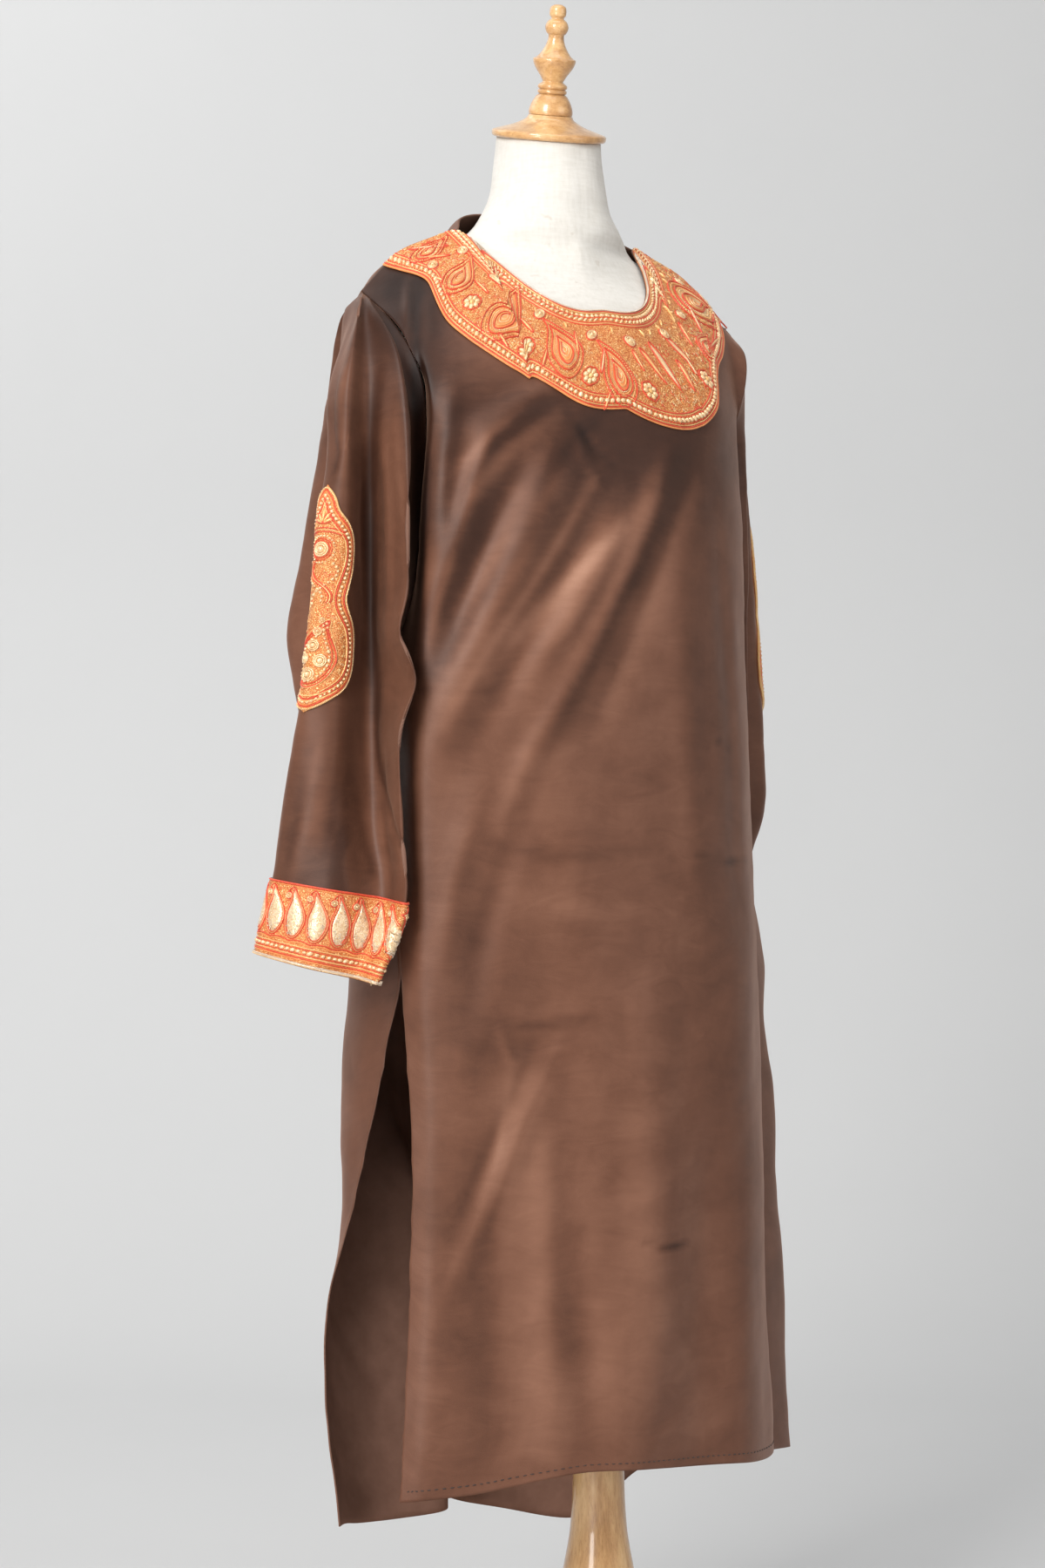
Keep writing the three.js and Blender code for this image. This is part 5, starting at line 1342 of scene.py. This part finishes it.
def sleeve_patch(name, node, p, n, mid, flip):
    """The embroidered patch on one sleeve: its ground and its raised work."""
    host, z_to_w, _, _ = sleeve_host(p, n, mid)
    top, low = z_to_w(PATCH_TOP_Z), z_to_w(PATCH_LOW_Z)
    size = low - top
    t = np.linspace(0, 1, 72)
    side = np.linspace(-1, 1, 26)
    half = PATCH("half", t)
    u = half[:, None] * side[None]
    w = top + size * t[:, None] + 0 * u
    dip = 1.0 * (1 - np.minimum(1, (1 - np.abs(side))[None] * half[:, None] / 1.4))
    ground = grid_object(name + "_ground", host(u, w, BASE - dip), flip, np.stack([u, w], -1))
    ground.data.materials.append(GROUND)
    thicken(ground, GROUND_THICK, ORANGE)
    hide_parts(node)
    work = Work(name + "_work", host, THREADS)
    tt = np.linspace(0.004, 0.996, 110)
    outline = np.concatenate([np.stack([PATCH("half", tt), top + size * tt], 1),
                              np.stack([-PATCH("half", tt), top + size * tt], 1)[::-1]])
    loop = lambda amount: inset(outline, amount)
    work.cord(loop(0.3), 2.0, 1.7, "gold", BASE - 0.6, closed=True)
    work.chain(joined(loop(0.5)), 1.5, 1.3, 1.0, 0.9, "pale", BASE + 0.7)
    for amount, mat, wide in ((2.8, "red", 1.3), (4.2, "orange", 1.1), (9.6, "red", 1.3),
                              (11.2, "gold", 1.0)):
        work.cord(loop(amount), wide, 1.1, mat, BASE, closed=True)
    work.chain(joined(loop(6.8)), 4.2, 3.5, 2.8, 1.9, "pale", BASE, 0.4)
    at = lambda a, b: np.array([a, top + b])
    for turn in (-1.1, -0.55, 0, 0.55, 1.1):
        leaf(work, at(0, 36), 13 - 3 * abs(turn), 3.6, math.pi + turn, "gold", rim="red" if turn else None)
    arch = np.linspace(-1, 1, 26)
    for k, mat in ((0, "red"), (1.8, "gold"), (3.6, "red")):
        work.cord(np.stack([arch * 21, top + 40 + k + 5 * arch**2], 1), 1.0, 1.1, mat, BASE)
    work.button(at(0, 60), 7.2)
    ring = angles(26)
    around = circle(ring)
    work.chain(joined(at(0, 60) + 12.5 * around), 2.8, 2.6, 1.9, 1.3, "pale", BASE)
    work.cord(at(0, 60) + 10 * around, 0.9, 1.1, "red", BASE, closed=True)
    s = np.linspace(0, 1, 34)
    scroll = np.stack([13 * np.sin(s * np.pi * 1.5 + 0.5) * (1 - 0.25 * s), top + 70 + 40 * s], 1)
    for k, mat, wide in ((-3.4, "red", 1.1), (-1.7, "gold", 1.5), (0, "red", 1.1), (3.0, "orange", 1.2)):
        work.cord(scroll + [k, 0], wide, 1.5, mat, BASE)
    work.chain(scroll + [5.6, 0], 4.2, 3.5, 2.9, 1.9, "pale", BASE, 0.3)
    work.chain(scroll * [-1, 1] + [-4, 2], 4.2, 3.4, 2.7, 1.8, "pale", BASE, -0.3)
    lower = turned(paisley(66, 0.78), at(2, 188), math.pi, 1)
    work.cord(lower, 1.4, 1.5, "red", BASE, closed=True)
    work.cord(inset(lower, -1.8), 1.0, 1.3, "gold", BASE, closed=True)
    work.chain(joined(inset(lower, 5.0)), 4.2, 3.4, 2.7, 1.8, "pale", BASE, 0.3)
    work.cord(inset(lower, 2.2), 1.0, 1.2, "red", BASE, closed=True)
    for a, b, r in ((2, 176, 6.6), (-8, 163, 6.2), (8, 161, 5.2), (-1, 149, 5.6), (-4, 136, 4.2),
                    (-7, 126, 3.0)):
        work.button(at(a, b), r, red=False)
    arc = np.linspace(-0.95, 0.95, 26)
    for k, mat, wide in ((0, "gold", 1.4), (2.2, "red", 1.0), (4.6, "gold", 1.6)):
        work.cord(np.stack([arc * 28, top + 196 + k - 12 * arc**2], 1), wide, 1.2, mat, BASE)

    def inside(r):
        t_ = r.uniform(0.05, 0.96)
        return np.array([r.uniform(-1, 1) * max(0.5, float(PATCH("half", t_)) - 10), top + size * t_])

    curls(work, inside, 260, 2.2, 43, BASE - 0.1)
    return ground, work.build()


right_n, left_n = normals(right, 1), normals(left, -1)
patch_right, patch_right_work = sleeve_patch(
    "patch_right", "sleeve_patch_right", right, right_n, RIGHT_MID, 1)
patch_left, patch_left_work = sleeve_patch(
    "patch_left", "sleeve_patch_left", left, left_n, LEFT_MID, -1)


def drop_upright(size, wide, n=36):
    """A cuff's upright drop: a full round base, a tip leaning over and curling."""
    t = angles(n)
    q = (1 - np.cos(t)) / 2
    half = wide / 2 * np.sin(t) * (1 - 0.72 * smooth((q - 0.35) / 0.65))
    return np.stack([half + wide * 0.42 * q**3, -size * q], 1)


def sleeve_cuff(name, node, p, n, mid, flip):
    """The embroidered band at one sleeve's end: its ground and its raised work."""
    host, z_to_w, across, down = sleeve_host(p, n, mid)
    top, end = z_to_w(p[CAP_ROWS + int(np.argmin(np.abs(SLEEVE_Z - CUFF_TOP_Z))), mid, 2]), down[-1]
    row = p.shape[0] - 7
    u0, u1 = across[row, 9], across[row, p.shape[1] - 10]
    deep = end - top
    t = np.linspace(0, 1, 34)
    cols = np.linspace(8, p.shape[1] - 9, 150)
    r0 = float(np.interp(top, down, np.arange(len(down))))
    rows = mix(r0, p.shape[0] - 1.0, t)
    i = np.clip(rows.astype(int), 0, p.shape[0] - 2)
    a = (rows - i)[:, None, None]
    grid = mix(p[i], p[i + 1], a)
    nn = mix(n[i], n[i + 1], a)
    j = np.clip(cols.astype(int), 0, p.shape[1] - 2)
    b = (cols - j)[None, :, None]
    grid, nn = mix(grid[:, j], grid[:, j + 1], b), mix(nn[:, j], nn[:, j + 1], b)
    dip = 1.0 * (1 - np.minimum(1, np.minimum(t, 1 - t) * 30))
    ground = grid_object(name + "_ground", grid + nn * (BASE - dip)[:, None, None], flip,
                         np.stack(np.broadcast_arrays(cols[None] * 1.7, t[:, None] * deep), -1))
    ground.data.materials.append(GROUND)
    thicken(ground, GROUND_THICK, ORANGE)
    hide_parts(node)
    work = Work(name + "_work", host, THREADS)
    us = np.linspace(u0, u1, 200)
    band = lambda k, wob=0.0: np.stack([us, top + k + wob + 0 * us], 1)
    work.cord(band(0.6), 2.0, 1.9, "red", BASE - 0.4)
    work.cord(band(2.6), 1.0, 1.0, "orange", BASE)
    pitch = (u1 - u0) / round((u1 - u0) / DROP_PITCH)
    centres = np.arange(u0 + pitch / 2, u1 - 1, pitch)
    scale = deep / CUFF_DRAWN
    foot = 50.5 * scale
    for k, c in enumerate(centres):
        place = np.array([c - 1.5, top + foot - 1.5])
        shape = drop_upright(43 * scale, 18.2) + place
        work.cord(drop_upright(47.4 * scale, 21.6) + place + [0, 2.0], 1.0, 1.4, "red", BASE, closed=True)
        work.cord(drop_upright(45.2 * scale, 20.0) + place + [0, 1.0], 0.8, 1.5, "gold", BASE, closed=True)
        work.fill(shape, 2.3, "tinsel", BASE, 0.42, 7)
        r = np.random.RandomState(k + 3)
        spots = r.uniform(-1, 1, (90, 2)) * [7.6, 22 * scale] + [place[0], place[1] - 20 * scale]
        high = (place[1] - spots[:, 1]) / (41 * scale)
        middle = np.interp(high, (0, 0.3, 0.7, 1), (0, 0.4, 2.6, 7))
        half = np.interp(high, (0, 0.06, 0.3, 0.6, 0.85, 1), (0, 4.4, 7.4, 4.4, 1.4, 0.2))
        ok = (high > 0.02) & (high < 0.98) & (np.abs(spots[:, 0] - place[0] - middle) < half)
        work.domes(spots[ok], r.uniform(0, 3.1, ok.sum()), 2.2, 0.9, 0.7, "silver", BASE + 1.9, 5, False)
        work.cord(shape, 0.9, 1.7, "red", BASE, closed=True)
        s = np.linspace(0, 1, 22)
        curl = np.array([c + 7.4, top + 8.5 * scale]) + (4.6 - 3.2 * s)[:, None] * np.stack(
            [np.cos(3.4 + 7.0 * s), np.sin(3.4 + 7.0 * s)], 1)
        work.cord(curl, 1.0, 1.5, "red", BASE)
        work.button(np.array([c + pitch / 2 - 0.6, top + 12 * scale]), 3.0)
    scallop = 1.9 * np.abs(np.cos((us - centres[0] + pitch / 2) * np.pi / pitch))
    for k, mat, wide in ((53.2, "red", 1.1), (55.0, "orange", 1.3)):
        work.cord(band(k * scale, -scallop), wide, 1.3, mat, BASE)
    for k, mat, wide in ((56.8, "gold", 1.2), (64.6, "gold", 1.2), (66.4, "red", 1.2),
                         (68.0, "orange", 1.2)):
        work.cord(band(k * scale), wide, 1.2, mat, BASE)
    work.cord(band(58.4 * scale), 0.9, 1.1, "red", BASE)
    work.cord(band(62.9 * scale), 0.9, 1.1, "red", BASE)
    work.chain(band(60.7 * scale), 5.6, 4.9, 3.3, 2.0, "pale", BASE, 0.25)
    work.cord(band(deep - 1.8), 2.6, 1.7, "silver", BASE - 0.2)
    work.chain(band(deep - 2.6), 1.7, 1.6, 1.2, 1.0, "silver", BASE + 0.9, 0.5)
    work.chain(band(deep - 0.8), 1.7, 1.6, 1.2, 1.0, "pale", BASE + 0.7, -0.5)

    x_, y_, _ = picture(host(us, 0 * us + end - 1, 0 * us + 2))
    frayed = us[np.argmin((x_ - 447) ** 2 + (y_ - 1133) ** 2)]
    r = np.random.RandomState(5)
    for k in range(7 if name == "cuff_right" else 0):
        q = np.linspace(0, 1, 8)
        way = r.uniform(-1.2, 1.2)
        line = np.stack([frayed + 5 * q * math.sin(way) + 1.2 * np.sin(5 * q + k), end - 4 + 3.6 * q], 1)
        work.cord(line, 0.6, 2.6, "silver", BASE + 0.5, sides=3)

    def inside(r):
        return np.array([r.uniform(u0, u1), top + r.uniform(3, 53) * scale])

    curls(work, inside, 500, 2.1, 47, BASE - 0.1)
    return ground, work.build()


cuff_right, cuff_right_work = sleeve_cuff("cuff_right", "cuff_right", right, right_n, RIGHT_MID, 1)
cuff_left, cuff_left_work = sleeve_cuff("cuff_left", "cuff_left", left, left_n, LEFT_MID, -1)

# ---- dress form and its turned wood -------------------------------------------------------------
FORM_ROWS, FORM_SIDES = 120, 112
FORM_CLEAR = 7.0  # from the form to the cloth's outer face where the cloth holds it in
NECK_TOP = np.array([-39.0, 30.0, 1563.0])
LEAN = (-0.054, -0.225, 0.973)
UNDER_CLOTH_Z, SOFTENED_Z = 1376, 1385  # the form is held inside the cloth, and smoothed, below these


def tree_of(grids):
    """A search tree of the cloth, to keep the form inside it."""
    verts, faces, base = [], [], 0
    for g in grids:
        m, n = g.shape[:2]
        i = np.arange(m * n).reshape(m, n) + base
        q = quads(i).reshape(-1, 4)
        verts += g.reshape(-1, 3).tolist()
        faces += q.tolist()
        base += m * n
    return BVHTree.FromPolygons(verts, faces)


cloth_tree = tree_of([front, back])
form_z = np.linspace(822, NECK_TOP[2], FORM_ROWS)
ring = angles(FORM_SIDES)
form = np.empty((FORM_ROWS, FORM_SIDES, 3))
for i, z in enumerate(form_z):
    names = ("cx", "cy", "half", "front", "back", "round")
    cx, cy, half, ahead, behind, power = (float(FORM(k, z)) for k in names)
    c, q = np.cos(ring), np.sin(ring)
    dx = half * np.sign(c) * np.abs(c) ** power
    dy = np.where(q < 0, ahead, behind) * np.sign(q) * np.abs(q) ** power
    reach = np.hypot(dx, dy)
    if z < UNDER_CLOTH_Z:
        for k in range(FORM_SIDES):
            hit = cloth_tree.ray_cast(Vector((cx, cy, z)), Vector((dx[k], dy[k], 0)).normalized(), 400)
            if hit[0] is not None:
                reach[k] = min(reach[k], hit[3] - FORM_CLEAR)
    keep = reach / np.maximum(np.hypot(dx, dy), 1e-6)
    form[i] = vec(cx + dx * keep, cy + dy * keep, z)
low = form_z < SOFTENED_Z
for _ in range(5):
    f = form.copy()
    f[1:-1] = 0.25 * form[:-2] + 0.5 * form[1:-1] + 0.25 * form[2:]
    f = 0.25 * np.roll(f, 1, 1) + 0.5 * f + 0.25 * np.roll(f, -1, 1)
    form[low] = f[low]
tip = smooth((form[..., 2] - 1490) / 73)
off_x, off_y = form[..., 0] - NECK_TOP[0], form[..., 1] - NECK_TOP[1]
form[..., 2] -= tip * (LEAN[0] * off_x + LEAN[1] * off_y) / LEAN[2]
form_n = normals(form, 1)
form += form_n * (waves(form, 40, 0.25, 51) + waves(form, 14, 0.07, 52))[..., None]
for line, depth, wide in (([(556, 237), (600, 250), (671, 266)], -0.9, 1.6),
                          ([(668, 160), (670, 220), (671, 300), (672, 352)], -0.8, 1.3)):
    dist, _, _ = along(form, pick(form, form_n, line))
    form += form_n * (depth * np.exp(-((dist / wide) ** 2)))[..., None]
underside = [mix(form[0].mean(0), form[0], k) + [0, 0, d] for k, d in ((0.02, -9), (0.6, -8), (0.94, -4))]
lid = [mix(form[-1].mean(0), form[-1], k) + [0, 0, 0.4] for k in (0.5, 0.02)]
form = np.concatenate([np.stack(underside), form, np.stack(lid)])
form_obj = grid_object("dress_form", form, 1, wrap=True)
form_obj.data.materials.append(LINEN)
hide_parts("form")

CAP = [[54, 0], [56, 1.5], [56.5, 4.5], [55, 7], [46, 10], [34, 14], [24, 19.5], [21.4, 23.5]]
FINIAL = [[21.4, 0], [21.6, 4], [19.5, 11], [16, 17], [14, 19.2], [12.6, 20], [14.2, 21], [14.2, 23.5],
          [12.8, 24.6], [14.2, 25.7], [14.2, 28.5], [10.4, 31.5], [10.6, 33], [13.5, 38], [18, 44.5],
          [20.6, 50], [20.8, 53.6], [18.8, 54.6], [15, 58], [10.5, 65], [8, 72], [7.8, 76.5],
          [9.6, 78.5], [11.2, 82], [11.3, 85.5], [9.4, 89.5], [6.4, 92], [6.6, 93.5], [8, 95.5],
          [8.2, 100], [7.2, 103.5], [4, 105.6]]
BASE_DISC = [[168, 0], [172, 3], [172, 14], [166, 18], [160, 19], [156, 23], [150, 26]]
POLE = [[58, 0], [60, 4], [60, 18], [56, 24], [50, 28], [52, 34], [50, 42], [44, 62], [39, 90], [36.4, 120],
        [34.6, 135], [30, 160], [27.3, 182], [25.4, 222], [24.6, 300], [24, 500], [24, 795.4]]


def lathe(name, node, profile, foot, axis, material, seed, sides=64):
    """A turned piece from its profile of radius and height, on a foot and along an axis."""
    prof = np.array(profile, float)
    k = np.arange(len(prof))
    fine = np.arange(0, len(prof) - 1 + 1e-9, 0.25)
    x, h = (Tab("k v", np.stack([k, prof[:, c]], 1))("v", fine) for c in (0, 1))
    x = np.r_[0.2, x[0] * 0.6, x, x[-1] * 0.5, 0.2]
    h = np.r_[h[0], h[0], h, h[-1] + 0.3, h[-1] + 0.4]
    a = angles(sides)
    up = np.array(axis, float)
    up /= np.linalg.norm(up)
    e1 = np.cross([0, 1, 0], up)
    e1 /= np.linalg.norm(e1)
    e2 = np.cross(up, e1)
    r = np.random.RandomState(seed)
    wobble = 1 + 0.0015 * np.sin(2 * a + r.uniform(0, 6))
    over = (x[:, None] * np.cos(a) * wobble)[..., None] * e1
    across = (x[:, None] * np.sin(a) * wobble)[..., None] * e2
    p = np.array(foot, float) + up * h[:, None, None] + over + across
    obj = grid_object(name, p, 1, wrap=True)
    obj.data.materials.append(material)
    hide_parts(node)
    return obj


axis = np.array(LEAN)
lathe("neck_cap_turned", "neck_cap", CAP, NECK_TOP + axis * 0.3, LEAN, WOOD_TURNED, 61)
lathe("finial_turned", "finial", FINIAL, NECK_TOP + axis * 24.1, LEAN, WOOD_TURNED, 62)
lathe("stand_base", "base", BASE_DISC, (0, 0, 0), (0, 0, 1), WOOD_TURNED, 63, 128)
lathe("stand_pole", "pole", POLE, (0, 0, 26.3), (0, 0, 1), WOOD, 64, 80)


def plain(name, colour, rough):
    """An almost even colour, for the floor."""
    k = Nodes(name)
    n = k.noise(k.coord("Object"), 3, 3)
    k.link(k.ramp(n, [(0.3, colour), (0.7, [c * 1.01 for c in colour])]), k.bsdf.inputs["Base Color"])
    k.set(Roughness=rough, Specular_IOR_Level=0.2)
    return k.mat


run = np.linspace(0, 1, 40)
away = np.concatenate([np.linspace(-6000, 1800, 20, endpoint=False),
                       1800 + 1500 * np.sin(run * np.pi / 2), np.full(8, 3300.0)])
height = np.concatenate([np.zeros(20), 1500 * (1 - np.cos(run * np.pi / 2)),
                         np.linspace(1600, 6000, 8)])
wide = np.linspace(-7000, 7000, 30)
sweep = vec(wide[None] * math.cos(TURN) + away[:, None] * math.sin(TURN),
            -wide[None] * math.sin(TURN) + away[:, None] * math.cos(TURN), height[:, None])
floor = grid_object("floor", sweep, -1, part=False)
floor.data.materials.append(plain("pale_floor", (0.60, 0.605, 0.61), 0.9))

world = bpy.data.worlds.new("studio")
bpy.context.scene.world = world
world.use_nodes = True
world.node_tree.nodes["Background"].inputs["Color"].default_value = (0.755, 0.75, 0.74, 1)
world.node_tree.nodes["Background"].inputs["Strength"].default_value = 0.62


def lamp(name, place, aim, size, power, colour):
    """An area light at a place, aimed at a point."""
    data = bpy.data.lights.new(name, "AREA")
    data.shape, data.size, data.size_y = "RECTANGLE", *size
    data.energy, data.color = power, colour
    obj = bpy.data.objects.new(name, data)
    obj.location = place
    obj.rotation_euler = (Vector(aim) - Vector(place)).to_track_quat("-Z", "Y").to_euler()
    bpy.context.scene.collection.objects.link(obj)


lamp("key", (-3.2, -1.9, 2.7), (0, 0, 1.1), (1.3, 1.9), 135, (1.0, 0.985, 0.96))
lamp("fill", (1.6, -3.4, 1.9), (0, 0, 1.0), (2.0, 2.4), 22, (1.0, 0.99, 0.98))
lamp("top", (-0.4, -0.6, 4.2), (0, 0, 1.0), (2.4, 2.4), 36, (1, 1, 1))
lamp("back_left", (-0.9, 2.6, 3.4), (1.6, 3.2, 1.2), (3.0, 3.0), 42, (1, 1, 1))
lamp("low", (-3.0, -1.9, 0.6), (-0.2, 0.1, 0.5), (0.9, 0.9), 26, (1.0, 0.98, 0.95))

camera = bpy.data.objects.new("camera", bpy.data.cameras.new("camera"))
camera.location = (-1.812, -2.759, 0.93)
camera.rotation_euler = (math.pi / 2, 0, -TURN)
camera.data.lens, camera.data.sensor_width = 77.2, 36
camera.data.sensor_fit = "AUTO"
bpy.context.scene.collection.objects.link(camera)
bpy.context.scene.camera = camera
bpy.context.scene.view_settings.view_transform = "Standard"
